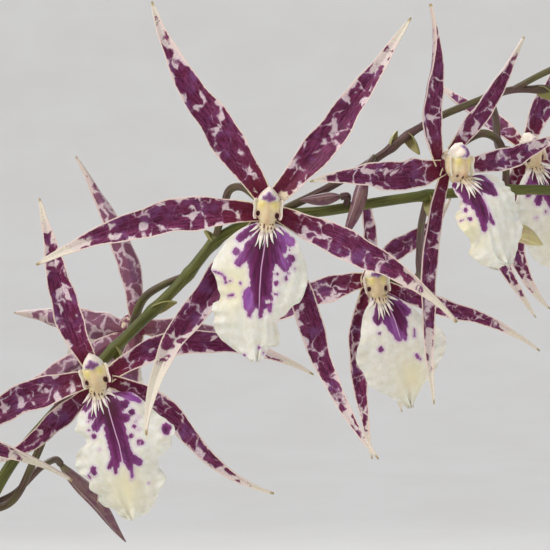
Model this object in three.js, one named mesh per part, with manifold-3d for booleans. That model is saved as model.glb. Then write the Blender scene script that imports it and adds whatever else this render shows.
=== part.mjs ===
// The potted miltassia orchid: an arching, branched spray of star-shaped spotted blooms on a
// clump of pseudobulbs and strap leaves, standing in bark in a clay pot.
// Millimetres, +Z up. X runs to the right of the photograph and Y away from the eye. The origin is
// the centre of the pot's underside.
import * as THREE from "three";
import Module from "manifold-3d";

const wasm = await Module();
wasm.setup();

// Clearance left between neighbouring pieces
const GAP = 0.3;

// Clay pot
const POT_HEIGHT = 118;
const POT_FOOT_RADIUS = 46;
const POT_TOP_RADIUS = 60;
const RIM_RADIUS = 65;
const RIM_HEIGHT = 22;
const POT_WALL = 5.5;
const POT_FLOOR = 7;
const POT_SIDES = 26;
const DRAIN_COUNT = 5;
const DRAIN_RADIUS = 5;
const DRAIN_CIRCLE = 25;

// Bark mix in the pot
const BARK_TOP = 100;
const CHIP_COUNT = 14;
const CHIP_LENGTH = 23;
const CHIP_WIDTH = 16;
const CHIP_THICK = 6;

// Blades: tepals, lips, leaves and sheaths
const TEPAL_THICK = 0.8;
const LIP_THICK = 0.7;
const LEAF_THICK = 1.5;
const SHEATH_THICK = 0.8;
const TEPAL_STEPS = 6;
const LEAF_STEPS = 8;
const FINE_STEPS = 72;

// Stems
const STEM_RADIUS = 1.7;
const BRANCH_RADIUS = 1.35;
const PEDICEL_RADIUS = 1.2;
const OVARY_RADIUS = 1.5;
const STEM_SIDES = 6;
const SPIKE_FOOT_RADIUS = 2.6;

// Share of a tepal's full width along its length
const TEPAL_OUTLINE = [
  [0, 0.5], [0.12, 0.72], [0.3, 1], [0.45, 0.95], [0.6, 0.74], [0.75, 0.48], [0.88, 0.27], [1, 0.09],
];
// Share of a leaf's full width along its length
const LEAF_OUTLINE = [
  [0, 0.25], [0.12, 0.42], [0.35, 0.9], [0.55, 1], [0.75, 0.84], [0.9, 0.48], [1, 0.06],
];
// Length of tepal that is hidden inside the heart of the bloom
const TEPAL_INSET = 1.6;
// Heart of the bloom: how far behind the bloom's own point the tepals join
const HEART_DEPTH = 2.3;
const HEART_FRONT = 0.7;
const HEART_BACK = 4.0;
const HEART_RADIUS = 4.3;

// Clay, bark, green and bloom colours
const COLOURS = {
  clay: { color: 0xb5683f, roughness: 0.85 },
  bark: { color: 0x5d3d28, roughness: 0.95 },
  bulb: { color: 0x7f9a45, roughness: 0.5 },
  leaf: { color: 0x3f6b2a, roughness: 0.45 },
  root: { color: 0xc9c8b4, roughness: 0.8 },
  husk: { color: 0xb99b6b, roughness: 0.8 },
  stem: { color: 0x4b5a2c, roughness: 0.5 },
  tepal: { color: 0x5f2246, roughness: 0.55 },
  lip: { color: 0xf1ede0, roughness: 0.6 },
  column: { color: 0xe8d79a, roughness: 0.5 },
  bud: { color: 0x6d4a4a, roughness: 0.55 },
  paleBud: { color: 0xd6cf97, roughness: 0.55 },
};

// Blooms. `at` is the bloom's own point, `yaw` turns its face to the right of the eye, `nod` tips it
// down, `lean` swings its lip clockwise, `tilt` its column, and `swing` brings the lip forward. Tepals:
// root in the bloom's plane, length, width, the compass turn it sets off on, the bends of its two
// halves, its lift towards the bloom's front at root, middle and tip, and its twist at root, middle
// and tip. Degrees and millimetres.
const BLOOMS = [
  {
    name: "bloom_front",
    at: [197.7, -30, 520.3],
    yaw: 0,
    nod: 0,
    lean: 4,
    tilt: 4,
    swing: 0,
    lip: "front",
    tepals: [
      tepal([-1, 2.6], 66.5, 9.9, 122, [4, -21], [12, 2, -12], [0, 6, 16]),
      tepal([2.4, 2.4], 66, 9.4, 44, [11, 2], [12, 4, -10], [0, -10, -20]),
      tepal([-3.2, -2.1], 67, 9.9, 174, [21, 12], [10, 2, -6], [0, -8, 30]),
      tepal([3.8, -2.6], 60.8, 9, -24, [-2, -25], [8, 6, 6], [0, 12, 70]),
      tepal([-1.5, -4.3], 74, 8.6, -127, [0, 36], [-12, 10, 30], [0, -14, 24]),
      tepal([1.8, -4.9], 76.5, 7.8, -67, [-6, 22], [-12, 2, 8], [0, 14, -10]),
    ],
  },
  {
    name: "bloom_lower",
    at: [148, -25, 469.7],
    yaw: 0,
    nod: 0,
    lean: -13,
    tilt: -16,
    swing: 0,
    lip: "lower",
    tepals: [
      tepal([-2.1, 3.5], 52.5, 8.2, 121, [-18, 2], [4, -3, -12], [0, 8, -10]),
      tepal([-2.6, -0.5], 56, 9.2, -172, [21, 6], [8, -8, -15], [0, 10, 30]),
      tepal([2.9, 0.4], 69, 7.6, 44, [-48, -28], [-22, -22, -8], [0, -16, 24]),
      tepal([2.6, -0.8], 61, 6.8, -10, [-45, 39], [-6, -4, 0], [0, 20, 30]),
      tepal([-2.9, -4.2], 44, 6.6, -138, [0, -34], [-24, -20, -10], [0, 20, 40]),
    ],
  },
  {
    name: "bloom_upper",
    at: [253.7, -20, 533.4],
    yaw: 30,
    nod: 0,
    lean: -16,
    tilt: -2,
    swing: 24,
    lip: "upper",
    tepals: [
      tepal([-5, 0.9], 46.5, 8.2, 117, [-37, 20], [4, 6, -12], [10, 14, 60]),
      tepal([1.1, 4.6], 40.5, 7.2, 55, [2, 1], [14, 10, -4], [0, 16, 20]),
      tepal([-4, -1.8], 45, 9.2, -165, [-15, 11], [6, 0, -8], [0, -10, 14]),
      tepal([3, -0.6], 47, 6.8, -1, [20, 6], [6, -8, -14], [0, -20, -34]),
      tepal([-2.4, -3.3], 69, 7, -105, [14, 7], [-10, 0, 4], [-6, -16, 30]),
      tepal([1.7, -4.2], 58, 6.4, -45, [-4, -2], [-20, -12, 0], [0, 14, 30]),
    ],
  },
  {
    name: "bloom_turned_away",
    at: [155.7, 16, 483.8],
    yaw: 180,
    nod: 0,
    lean: -40,
    tilt: -40,
    swing: 52,
    lip: "side",
    tepals: [
      tepal([-0.6, 2.1], 58, 6.9, 93, [-29, -7], [6, 14, 20], [0, 10, 30]),
      tepal([0.9, -1], 42, 9, 5, [7, -12], [10, 24, 34], [0, -14, 30]),
      tepal([-2.6, 0], 46, 8, 185, [6, 0], [20, 40, 40], [0, 10, 20]),
      tepal([-1.2, -2.6], 54, 8, -75, [-6, 10], [-6, -12, 20], [0, 10, 20]),
      tepal([2.2, -2.4], 50, 7.6, -32, [4, 10], [-4, 6, 20], [0, -10, 20]),
    ],
  },
  {
    name: "bloom_behind",
    at: [232.4, 40, 498.4],
    yaw: 10,
    nod: 0,
    lean: -16,
    tilt: -8,
    swing: 0,
    lip: "behind",
    tepals: [
      tepal([-2.6, 0], 44, 8.4, -174, [22, 12], [4, -10, -30], [0, 10, 30]),
      tepal([-2.4, -3.1], 56, 6.4, -104, [19, 5], [-12, 2, 8], [0, 10, 30]),
      tepal([3.3, -1.5], 56, 6, -26, [12, -26], [6, 8, 10], [0, 10, 40]),
      tepal([0.9, 3.6], 34, 7, 53, [-25, 42], [6, 10, 16], [0, 10, 20]),
      tepal([-0.8, 4], 36, 5.6, 92, [12, 14], [10, 24, 30], [0, 30, 60]),
      tepal([2, -4], 46, 6.4, -70, [-6, 4], [-30, -26, -10], [0, 10, 20]),
    ],
  },
  {
    name: "bloom_end",
    at: [280.7, 25, 539.6],
    yaw: 25,
    nod: 0,
    lean: -16,
    tilt: -16,
    swing: 10,
    lip: "side",
    tepals: [
      tepal([1, 3.2], 46, 8.4, 66, [-13, -20], [-4, -10, -20], [0, 10, 30]),
      tepal([-1.3, -3.2], 52, 7.8, -111, [32, 39], [-8, -2, 4], [0, 20, 40]),
      tepal([3, -0.6], 50, 8, -8, [14, -10], [-4, -12, -20], [0, 10, 30]),
      tepal([2, -3.6], 50, 7.6, -58, [8, 10], [-18, -14, -4], [0, 10, 30]),
      tepal([-2, 2.6], 44, 7.4, 128, [-10, -10], [-40, -60, -50], [0, 10, 20]),
    ],
  },
  {
    name: "bloom_side",
    at: [86.8, -38, 451.4],
    yaw: -34,
    nod: 0,
    lean: 6,
    tilt: 6,
    swing: 0,
    lip: "side",
    tepals: [
      tepal([-0.6, 3], 60, 9, 112, [8, -18], [10, 0, -14], [0, 8, 20]),
      tepal([2, 2.6], 55, 8.8, 66, [10, 4], [6, -4, -16], [0, -10, -20]),
      tepal([-2.8, 0], 60, 9, 178, [14, 16], [4, -8, -16], [0, -8, 20]),
      tepal([2.4, 0], 55, 7.4, 24, [-44, -26], [-18, -38, -42], [0, 14, 50]),
      tepal([-1.8, -3.6], 62, 8, -127, [4, 30], [-16, -6, 6], [0, -12, 20]),
      tepal([1.4, -4.2], 60, 7.6, -68, [-6, 20], [-16, -4, 6], [0, 12, 20]),
    ],
  },
];

// Lips. Half widths left and right of the midline, from throat to tip at even steps, the length, and
// how far the midline leans to the right of straight down.
const LIPS = {
  front: {
    length: 40.2,
    left: [2.8, 9.0, 12.1, 13.8, 13.9, 12.4, 13.9, 13.5, 11.8, 8.6, 2.2],
    right: [3.6, 8.4, 10.8, 12.6, 13.1, 12.5, 9.8, 6.0, 5.6, 5.0, 2.0],
  },
  lower: {
    length: 37.4,
    left: [3.6, 8.2, 9.5, 8.7, 10.6, 11.8, 10.4, 9.7, 8.1, 5.3, 1.8],
    right: [5.4, 11.3, 14.0, 16.6, 18.0, 16.3, 12.4, 12.6, 12.0, 9.5, 4.0],
  },
  upper: {
    length: 28.6,
    left: [3.0, 5.8, 6.6, 7.2, 9.0, 10.2, 9.8, 8.8, 8.6, 5.8, 1.8],
    right: [4.8, 11.4, 12.8, 12.8, 12.6, 12.6, 12.0, 10.8, 9.4, 7.0, 2.6],
  },
  behind: {
    length: 38,
    left: [2.8, 6.6, 8.6, 10.4, 12.6, 13.4, 12.2, 11.6, 8.4, 3.4, 1.2],
    right: [3.0, 7.0, 10.0, 13.0, 15.8, 17.2, 16.6, 13.8, 9.4, 4.0, 1.4],
  },
  side: {
    length: 34,
    left: [2.6, 7.2, 10.4, 12.6, 13.4, 13.6, 13.0, 12.0, 10.0, 6.8, 2.4],
    right: [2.6, 7.4, 10.8, 12.4, 13.0, 12.6, 12.8, 12.2, 9.8, 6.4, 2.4],
  },
};
const LIP_TOP = -5.2;
const LIP_SETBACK = -1.1;
const LIP_BULGE = 4.2;
const LIP_REFLEX = 3.2;
const LIP_RUFFLE = 0.9;
const LIP_COLUMNS = [-1, -0.55, 0, 0.55, 1];

// The flowering stem, from the foot of the newest pseudobulb to its drooping end
const MAIN_STEM = [
  [27, -9.4, 100], [32.6, -9.2, 110], [35, -9, 128], [38, -9, 152], [47, -9, 208], [64, -7, 290],
  [86, -3, 366], [111.3, 0, 427.5], [119.8, 0, 442.8], [125.4, 0, 449.8], [146.7, 0, 473.2],
  [159.2, 0, 485.7], [171.7, 0, 498.2], [183.9, 0, 512], [198.5, 0, 517.6], [215.5, 0, 519.6],
  [232.6, 0, 522.4], [246.6, 0, 524.3], [270.6, 1, 526], [292, 3, 525], [312, 6, 517], [328, 8, 503],
];
// The side branch that leaves it behind the front bloom
const BRANCH = [
  [197.6, 0, 517.4], [204.6, 2, 521], [215.2, 3, 526.2], [227.1, 4, 533.2], [234.4, 4, 538.1],
  [242.6, 4, 544.2], [251.2, 4, 549], [256.6, 4, 551.3], [265.9, 4, 554.8], [272.8, 4, 556.9],
  [281.3, 5, 557.2], [298, 6, 558], [314, 6, 557], [330, 6, 551],
];
// Bloom stalks, each from its node to the way it comes up behind the bloom it carries
const PEDICELS = [
  {
    bloom: "bloom_lower",
    course: [
      [111.3, 0, 427.5], [119.9, -2, 431], [127.4, -4.6, 444.6], [134.2, -6, 460], [142, -12, 467],
    ],
  },
  { bloom: "bloom_turned_away", course: [[173.8, 0, 500.2], [166, 3, 497.2], [159.6, 4.4, 492.8]] },
  {
    bloom: "bloom_front",
    course: [[181.6, 0, 510], [184.4, -4, 520], [186.4, -9, 525.6], [190.2, -14, 526.4]],
  },
  {
    bloom: "bloom_behind",
    course: [
      [246.6, 0, 524.3], [245.5, 12, 515.5], [246, 28, 505.4], [246.4, 43, 499.2], [241, 51.5, 497.6],
    ],
  },
  {
    bloom: "bloom_upper",
    course: [[270.6, 1, 526], [270.4, 0, 535], [268, -1.4, 541], [263.6, -3.6, 543], [258.2, -6, 541]],
  },
  {
    bloom: "bloom_end",
    course: [[265.9, 4, 554.8], [268.6, 12, 549], [270.4, 24, 543], [273, 32.4, 540.4]],
  },
  { bloom: "bloom_side", course: [[98.4, -1.5, 397], [97, -9, 412], [94.4, -18, 430], [92, -26, 444.4]] },
];
// Buds: stalk course from its node, the way the bud points, its length, thickness and colour
const BUDS = [
  {
    name: "bud_hanging_left",
    stalk: [[113.6, 0, 430], [120, 5, 433], [127, 14, 440], [131, 23, 441.5]],
    aim: [0.52, 0.46, -0.72],
    length: 37,
    width: 5.2,
    colour: "bud",
  },
  {
    name: "bud_hanging_middle",
    stalk: [[228.6, 4, 534], [230, 0.6, 536], [228.6, -4, 533.6]],
    aim: [-0.34, -0.12, -1],
    length: 23,
    width: 4.6,
    colour: "bud",
  },
  {
    name: "bud_on_node",
    stalk: [[221.4, 0, 520.4], [222, -2.6, 524]],
    aim: [-1, -0.3, -0.1],
    length: 13,
    width: 4,
    colour: "bud",
  },
  {
    name: "bud_pale",
    stalk: [[272.4, 1, 526], [270, 6, 520], [270.4, 9.6, 515.6]],
    aim: [0.82, 0.1, -0.4],
    length: 12,
    width: 6,
    colour: "paleBud",
  },
  {
    name: "bud_upper_side",
    stalk: [[272.8, 4, 556.9], [284, 1, 562.6], [296, -2, 567]],
    aim: [0.9, -0.2, 0.36],
    length: 26,
    width: 6,
    colour: "bud",
  },
  {
    name: "bud_branch_middle",
    stalk: [[306, 6, 557.6], [312, 12, 554], [315, 18, 547]],
    aim: [0.5, 0.5, -0.7],
    length: 24,
    width: 6,
    colour: "bud",
  },
  { name: "bud_branch_tip", stalk: [], aim: [0.94, 0, -0.35], length: 16, width: 5, colour: "paleBud" },
  {
    name: "bud_end_upper",
    stalk: [[292, 3, 525], [300, -4, 530], [308, -11, 531]],
    aim: [0.92, -0.5, -0.1],
    length: 25,
    width: 6,
    colour: "bud",
  },
  {
    name: "bud_end_lower",
    stalk: [[303, 5, 521.4], [303, 1, 512], [305, -3, 504]],
    aim: [0.24, -0.2, -1],
    length: 21,
    width: 5.6,
    colour: "bud",
  },
  { name: "bud_end_tip", stalk: [], aim: [0.75, 0.09, -0.66], length: 15, width: 4.8, colour: "paleBud" },
];
// Small boat-shaped bracts at the nodes: place, the way each points, length and width
const BRACTS = [
  { at: [111.3, 0, 427.5], aim: [0.5, 0.3, 1], length: 8, width: 5 },
  { at: [98.4, -1.5, 397], aim: [-0.1, 0.2, 1], length: 9, width: 5 },
  { at: [162.6, 0, 489.2], aim: [1, -0.2, 0.5], length: 8, width: 4.6 },
  { at: [151, 0, 477.6], aim: [0.5, -0.6, -0.9], length: 8, width: 4.4 },
  { at: [173.8, 0, 500.2], aim: [0.7, 0.2, 0.7], length: 5, width: 3.6 },
  { at: [181.6, 0, 510], aim: [-0.6, -0.3, 1], length: 5, width: 3.6 },
  { at: [246.6, 0, 524.3], aim: [0.1, -0.4, -1], length: 8, width: 4.4 },
  { at: [236, 4, 539.4], aim: [0.3, 0.4, 1], length: 6, width: 4 },
  { at: [240.6, 4, 542.8], aim: [0.7, -0.3, -1], length: 7, width: 4.4 },
  { at: [281.3, 5, 557.2], aim: [1, 0, -0.5], length: 7, width: 4.4 },
];

// Pseudobulbs on their creeping rhizome: foot, height, breadth, thickness and the way they face
const BULBS = [
  { foot: [-31, -12], height: 66, breadth: 32, thick: 18, turn: 16 },
  { foot: [-13, 15], height: 84, breadth: 40, thick: 22, turn: -14 },
  { foot: [8, -12], height: 94, breadth: 43, thick: 23, turn: 8 },
  { foot: [27, 17], height: 34, breadth: 20, thick: 13, turn: -16 },
];
const RHIZOME = [
  [-38, -14], [-31, -12], [-22, 2], [-13, 15], [-2, 2], [8, -12], [17, 3], [27, 17], [33, 21],
];
const RHIZOME_RADIUS = 5.5;
const RHIZOME_LEVEL = 99;
const BULB_SIDES = 10;
// Share of a pseudobulb's full breadth along its height
const BULB_OUTLINE = [
  [0, 0.46], [0.1, 0.82], [0.28, 1], [0.5, 0.93], [0.7, 0.74], [0.87, 0.48], [1, 0.16],
];

// Strap leaves: foot, the compass turn they lean to, the angle they rise at, how far they arch over
// by mid length and by the tip, length and width
const LEAVES = [
  {
    name: "leaf_tall_right",
    foot: [12.4, -12.2, 190.6],
    turn: -34,
    rise: 74,
    arch: [22, 66],
    swerve: 14,
    length: 300,
    width: 36,
  },
  {
    name: "leaf_tall_left",
    foot: [3.6, -12.8, 190.6],
    turn: 192,
    rise: 74,
    arch: [24, 68],
    swerve: -12,
    length: 310,
    width: 38,
  },
  {
    name: "leaf_base_left",
    foot: [-12.6, -20.6, 103],
    turn: 232,
    rise: 72,
    arch: [30, 70],
    swerve: -14,
    length: 260,
    width: 33,
  },
  {
    name: "leaf_base_right",
    foot: [38.2, -12.4, 103],
    turn: -12,
    rise: 74,
    arch: [32, 70],
    swerve: -16,
    length: 240,
    width: 31,
  },
  {
    name: "leaf_middle_right",
    foot: [-9.2, 13.8, 181],
    turn: 28,
    rise: 76,
    arch: [24, 66],
    swerve: 26,
    length: 285,
    width: 35,
  },
  {
    name: "leaf_middle_left",
    foot: [-17, 16.2, 181],
    turn: 158,
    rise: 72,
    arch: [24, 62],
    swerve: 12,
    length: 300,
    width: 36,
  },
  {
    name: "leaf_middle_base",
    foot: [-33.6, 20.4, 103],
    turn: 150,
    rise: 76,
    arch: [34, 60],
    swerve: 10,
    length: 230,
    width: 30,
  },
  {
    name: "leaf_shoot_outer_right",
    foot: [37.4, 14.4, 103],
    turn: 4,
    rise: 76,
    arch: [36, 60],
    swerve: 16,
    length: 205,
    width: 27,
  },
  {
    name: "leaf_shoot_outer_left",
    foot: [16.4, 21.6, 103],
    turn: 112,
    rise: 78,
    arch: [24, 56],
    swerve: -12,
    length: 200,
    width: 27,
  },
  {
    name: "leaf_shoot_inner_right",
    foot: [31, 16, 131.4],
    turn: 14,
    rise: 76,
    arch: [22, 50],
    swerve: 14,
    length: 185,
    width: 26,
  },
  {
    name: "leaf_shoot_inner_left",
    foot: [23.6, 19.2, 131.4],
    turn: 112,
    rise: 80,
    arch: [16, 52],
    swerve: 14,
    length: 205,
    width: 28,
  },
];

// Papery husks round the old pseudobulbs: which bulb, how high, and where the wrap opens
const HUSKS = [
  { name: "husk_old_bulb", bulb: 0, low: 9, high: 46, from: 100, to: 320 },
  { name: "husk_middle_bulb", bulb: 1, low: 9, high: 40, from: 30, to: 160 },
];

// Roots that creep over the bark and dive into it
const ROOTS = [
  {
    name: "root_front",
    course: [[-34, -14, 99], [-33, -25, 102.4], [-29, -33, 103], [-23, -37, 100], [-20, -38, 89]],
  },
  {
    name: "root_right",
    course: [[6, -14, 99], [6, -28, 102.4], [13, -36, 103], [23, -37, 100], [27, -35, 89]],
  },
  {
    name: "root_rear",
    course: [[-10, 17, 99], [-4, 30, 102.4], [4, 37, 103], [14, 40, 100], [18, 40, 89]],
  },
];
const ROOT_RADIUS = 2.1;

// One tepal's row of sizes and angles
function tepal(root, length, width, turn, bends, lift, twist) {
  return { root, length, width, turn, bends, lift, twist };
}

const up = new THREE.Vector3(0, 0, 1);
const vector = (p) => new THREE.Vector3(p[0], p[1], p[2]);
const radians = THREE.MathUtils.degToRad;

// A repeatable random draw
function seeded(seed) {
  let state = seed;
  return () => {
    state = (state * 1664525 + 1013904223) % 4294967296;
    return state / 4294967296;
  };
}

// The value of a broken line at u
function along(line, u) {
  for (let i = 1; i < line.length; i += 1) {
    const [u0, v0] = line[i - 1];
    const [u1, v1] = line[i];
    if (u <= u1) {
      return v0 + ((v1 - v0) * (u - u0)) / (u1 - u0);
    }
  }
  return line[line.length - 1][1];
}

// A value that runs through three settings at root, middle and tip
function through(settings, u) {
  return along([[0, settings[0]], [0.5, settings[1]], [1, settings[2]]], u);
}

// A closed solid from points and triangles, turned outside out if need be
function solid(points, triangles) {
  const vertProperties = new Float32Array(points.flatMap((p) => [p.x, p.y, p.z]));
  let volume = 0;
  for (const [a, b, c] of triangles) {
    volume += points[a].dot(new THREE.Vector3().crossVectors(points[b], points[c]));
  }
  const facing = volume < 0 ? triangles.map(([a, b, c]) => [a, c, b]) : triangles;
  const triVerts = new Uint32Array(facing.flat());
  return new wasm.Manifold(new wasm.Mesh({ numProp: 3, vertProperties, triVerts }));
}

// A solid through a row of rings with equal counts of points
function loft(rings) {
  const count = rings[0].length;
  const points = rings.flat();
  const triangles = [];
  for (let i = 0; i + 1 < rings.length; i += 1) {
    for (let j = 0; j < count; j += 1) {
      const a = i * count + j;
      const b = i * count + ((j + 1) % count);
      triangles.push([a, b, b + count], [a, b + count, a + count]);
    }
  }
  const last = (rings.length - 1) * count;
  for (let j = 1; j + 1 < count; j += 1) {
    triangles.push([0, j + 1, j], [last, last + j, last + j + 1]);
  }
  return solid(points, triangles);
}

// A thin sheet between a front and a back grid of points, split alike on both faces
function sheet(front, back) {
  const rows = front.length;
  const columns = front[0].length;
  const points = [...front.flat(), ...back.flat()];
  const behind = rows * columns;
  const at = (i, j) => i * columns + j;
  const triangles = [];
  const wall = (a, b) => triangles.push([b, a, a + behind], [b, a + behind, b + behind]);
  for (let i = 0; i + 1 < rows; i += 1) {
    for (let j = 0; j + 1 < columns; j += 1) {
      const corners = [at(i, j), at(i, j + 1), at(i + 1, j + 1), at(i + 1, j)];
      const [a, b, c, d] = corners;
      triangles.push([a, b, c], [a, c, d]);
      triangles.push([a + behind, c + behind, b + behind], [a + behind, d + behind, c + behind]);
    }
    wall(at(i + 1, 0), at(i, 0));
    wall(at(i, columns - 1), at(i + 1, columns - 1));
  }
  for (let j = 0; j + 1 < columns; j += 1) {
    wall(at(0, j), at(0, j + 1));
    wall(at(rows - 1, j + 1), at(rows - 1, j));
  }
  return solid(points, triangles);
}

// Points and directions of a course that is aimed afresh at every step
function trace(from, length, steps, aim) {
  const points = [from.clone()];
  const directions = [aim(0)];
  const fine = FINE_STEPS / steps;
  const place = from.clone();
  for (let i = 0; i < FINE_STEPS; i += 1) {
    place.addScaledVector(aim((i + 0.5) / FINE_STEPS), length / FINE_STEPS);
    if ((i + 1) % fine === 0) {
      points.push(place.clone());
      directions.push(aim((i + 1) / FINE_STEPS));
    }
  }
  return { points, directions };
}

// The same course in a bloom's own frame
function turnedCourse({ points, directions }, turn, centre) {
  return {
    points: points.map((point) => point.applyQuaternion(turn).add(centre)),
    directions: directions.map((direction) => direction.applyQuaternion(turn)),
  };
}

// The two sides of a blade's frame: its own front, and across it
function bladeFrame(direction, front, twist) {
  const normal = front.clone().addScaledVector(direction, -front.dot(direction)).normalize();
  normal.applyAxisAngle(direction, radians(twist));
  const across = new THREE.Vector3().crossVectors(normal, direction).normalize();
  return { normal, across };
}

// A channelled blade along a course. `edge` lifts each margin out of the blade's plane.
function blade({ points, directions }, front, { width, outline, thick, channel, twist, edge }) {
  const faces = [[], []];
  points.forEach((point, i) => {
    const u = i / (points.length - 1);
    const half = (width * along(outline, u)) / 2;
    const { normal, across } = bladeFrame(directions[i], front(u), twist(u));
    const fold = half * channel(u);
    [-1, 0, 1].forEach((side, j) => {
      const lift = side === 0 ? -fold : fold + edge(side, u) * half;
      const place = point.clone().addScaledVector(across, side * half).addScaledVector(normal, lift);
      const depth = side === 0 ? thick * 1.3 : thick;
      faces[0][i] = faces[0][i] ?? [];
      faces[1][i] = faces[1][i] ?? [];
      faces[0][i][j] = place;
      faces[1][i][j] = place.clone().addScaledVector(normal, -depth);
    });
  });
  return sheet(faces[0], faces[1]);
}

// A tapering round stem through points, drawn out by `extra` at both ends
function stem(points, radiusAt, sides, rows, extra = 0) {
  const curve = new THREE.CatmullRomCurve3(points.map(vector), false, "centripetal");
  const rings = [];
  let across = null;
  for (let i = 0; i <= rows; i += 1) {
    const u = i / rows;
    const direction = curve.getTangentAt(u);
    const beyond = { 0: -extra, [rows]: extra }[i] ?? 0;
    const centre = curve.getPointAt(u).addScaledVector(direction, beyond);
    const seed = across ?? new THREE.Vector3(direction.z, 0.2, -direction.x);
    across = seed.clone().addScaledVector(direction, -seed.dot(direction)).normalize();
    const other = new THREE.Vector3().crossVectors(direction, across);
    const radius = radiusAt(u);
    rings.push(Array.from({ length: sides }, (_, k) => {
      const angle = (2 * Math.PI * k) / sides;
      return centre.clone()
        .addScaledVector(across, Math.cos(angle) * radius)
        .addScaledVector(other, Math.sin(angle) * radius);
    }));
  }
  return loft(rings);
}

// Turned solid round the Z axis from [radius, height] pairs
function turned(profile, sides) {
  const geometry = new THREE.LatheGeometry(profile.map(([r, z]) => new THREE.Vector2(r, z)), sides);
  const source = geometry.getAttribute("position");
  const merged = new Map();
  const points = [];
  const index = [];
  for (let i = 0; i < source.count; i += 1) {
    const place = new THREE.Vector3(source.getX(i), -source.getZ(i), source.getY(i));
    const key = [place.x, place.y, place.z].map((value) => Math.round(value * 1000)).join(",");
    if (!merged.has(key)) {
      merged.set(key, points.length);
      points.push(place);
    }
    index.push(merged.get(key));
  }
  const triangles = [];
  const order = geometry.getIndex().array;
  for (let i = 0; i < order.length; i += 3) {
    const [a, b, c] = [index[order[i]], index[order[i + 1]], index[order[i + 2]]];
    if (a !== b && b !== c && a !== c) {
      triangles.push([a, b, c]);
    }
  }
  return solid(points, triangles);
}

// All of a list joined in one body, without loose scraps
function joined(solids) {
  const whole = solids.reduce((sum, next) => sum.add(next));
  const bodies = whole.decompose();
  bodies.sort((a, b) => b.volume() - a.volume());
  return bodies[0];
}

const plant = new THREE.Group();

function piece(name, body, colour) {
  const mesh = body.getMesh();
  const geometry = new THREE.BufferGeometry();
  geometry.setAttribute("position", new THREE.BufferAttribute(new Float32Array(mesh.vertProperties), 3));
  geometry.setIndex(new THREE.BufferAttribute(new Uint32Array(mesh.triVerts), 1));
  geometry.computeVertexNormals();
  const look = { metalness: 0, side: THREE.DoubleSide, ...COLOURS[colour] };
  const material = new THREE.MeshStandardMaterial(look);
  const part = new THREE.Mesh(geometry, material);
  part.name = name;
  plant.add(part);
}

// Clay pot with a rolled rim band, a level floor and drain holes set off its centre
const innerFoot = POT_FOOT_RADIUS - POT_WALL;
const innerTop = POT_TOP_RADIUS - POT_WALL;
function buildPot() {
  const rimLow = POT_HEIGHT - RIM_HEIGHT;
  const shell = turned([
    [0, 0], [POT_FOOT_RADIUS - 1.5, 0], [POT_FOOT_RADIUS, 1.5], [POT_TOP_RADIUS - 2.6, rimLow],
    [RIM_RADIUS - 2, rimLow], [RIM_RADIUS - 0.6, rimLow + 1.4], [RIM_RADIUS, POT_HEIGHT - 2],
    [RIM_RADIUS - 2, POT_HEIGHT], [innerTop + 2, POT_HEIGHT], [innerTop, POT_HEIGHT - 2],
    [innerFoot, POT_FLOOR], [0, POT_FLOOR],
  ], POT_SIDES);
  let pot = shell;
  for (let i = 0; i < DRAIN_COUNT; i += 1) {
    const angle = (2 * Math.PI * i) / DRAIN_COUNT;
    const [x, y] = [DRAIN_CIRCLE * Math.cos(angle), DRAIN_CIRCLE * Math.sin(angle)];
    const hole = stem([[x, y, -3], [x, y, POT_FLOOR / 2], [x, y, POT_FLOOR + 3]], () => DRAIN_RADIUS, 8, 2);
    pot = pot.subtract(hole);
  }
  return pot;
}

// A flattened, bluntly pointed pseudobulb
function bulbRings({ foot, height, breadth, thick, turn }, grow) {
  const rings = [];
  for (const [u, share] of BULB_OUTLINE) {
    const grownHeight = RHIZOME_LEVEL + height * u + grow * (2 * u - 1);
    const ring = [];
    for (let k = 0; k < BULB_SIDES; k += 1) {
      const angle = (2 * Math.PI * k) / BULB_SIDES;
      const local = new THREE.Vector3(
        Math.cos(angle) * ((breadth / 2) * share + grow),
        Math.sin(angle) * ((thick / 2) * share + grow),
        0,
      );
      local.applyAxisAngle(up, radians(turn));
      ring.push(local.add(new THREE.Vector3(foot[0], foot[1], grownHeight)));
    }
    rings.push(ring);
  }
  return rings;
}

function buildClump(grow) {
  const course = RHIZOME.map(([x, y]) => [x, y, RHIZOME_LEVEL]);
  const rhizome = stem(course, () => RHIZOME_RADIUS + grow, 7, 12, grow);
  return joined([rhizome, ...BULBS.map((bulb) => loft(bulbRings(bulb, grow)))]);
}

// Strap leaf: folded at its foot, opening to a shallow channel
function leafAim(leaf, u) {
  const arch = leaf.arch[0] * Math.min(2 * u, 1) + leaf.arch[1] * Math.max(2 * u - 1, 0);
  const rise = radians(leaf.rise - arch);
  const turn = radians(leaf.turn + leaf.swerve * u);
  return new THREE.Vector3(
    Math.cos(rise) * Math.cos(turn),
    Math.cos(rise) * Math.sin(turn),
    Math.sin(rise),
  );
}

function buildLeaf(leaf) {
  const front = (u) => {
    const turn = radians(leaf.turn + leaf.swerve * u);
    return new THREE.Vector3(-Math.cos(turn), -Math.sin(turn), 1.2);
  };
  const course = trace(vector(leaf.foot), leaf.length, LEAF_STEPS, (u) => leafAim(leaf, u));
  return blade(course, front, {
    width: leaf.width,
    outline: LEAF_OUTLINE,
    thick: LEAF_THICK,
    channel: (u) => 0.62 * (1 - u) ** 2 + 0.1,
    twist: () => 0,
    edge: (side, u) => 0.07 * Math.sin(9 * u + side * 1.3) * Math.min(1, 4 * u),
  });
}

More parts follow.
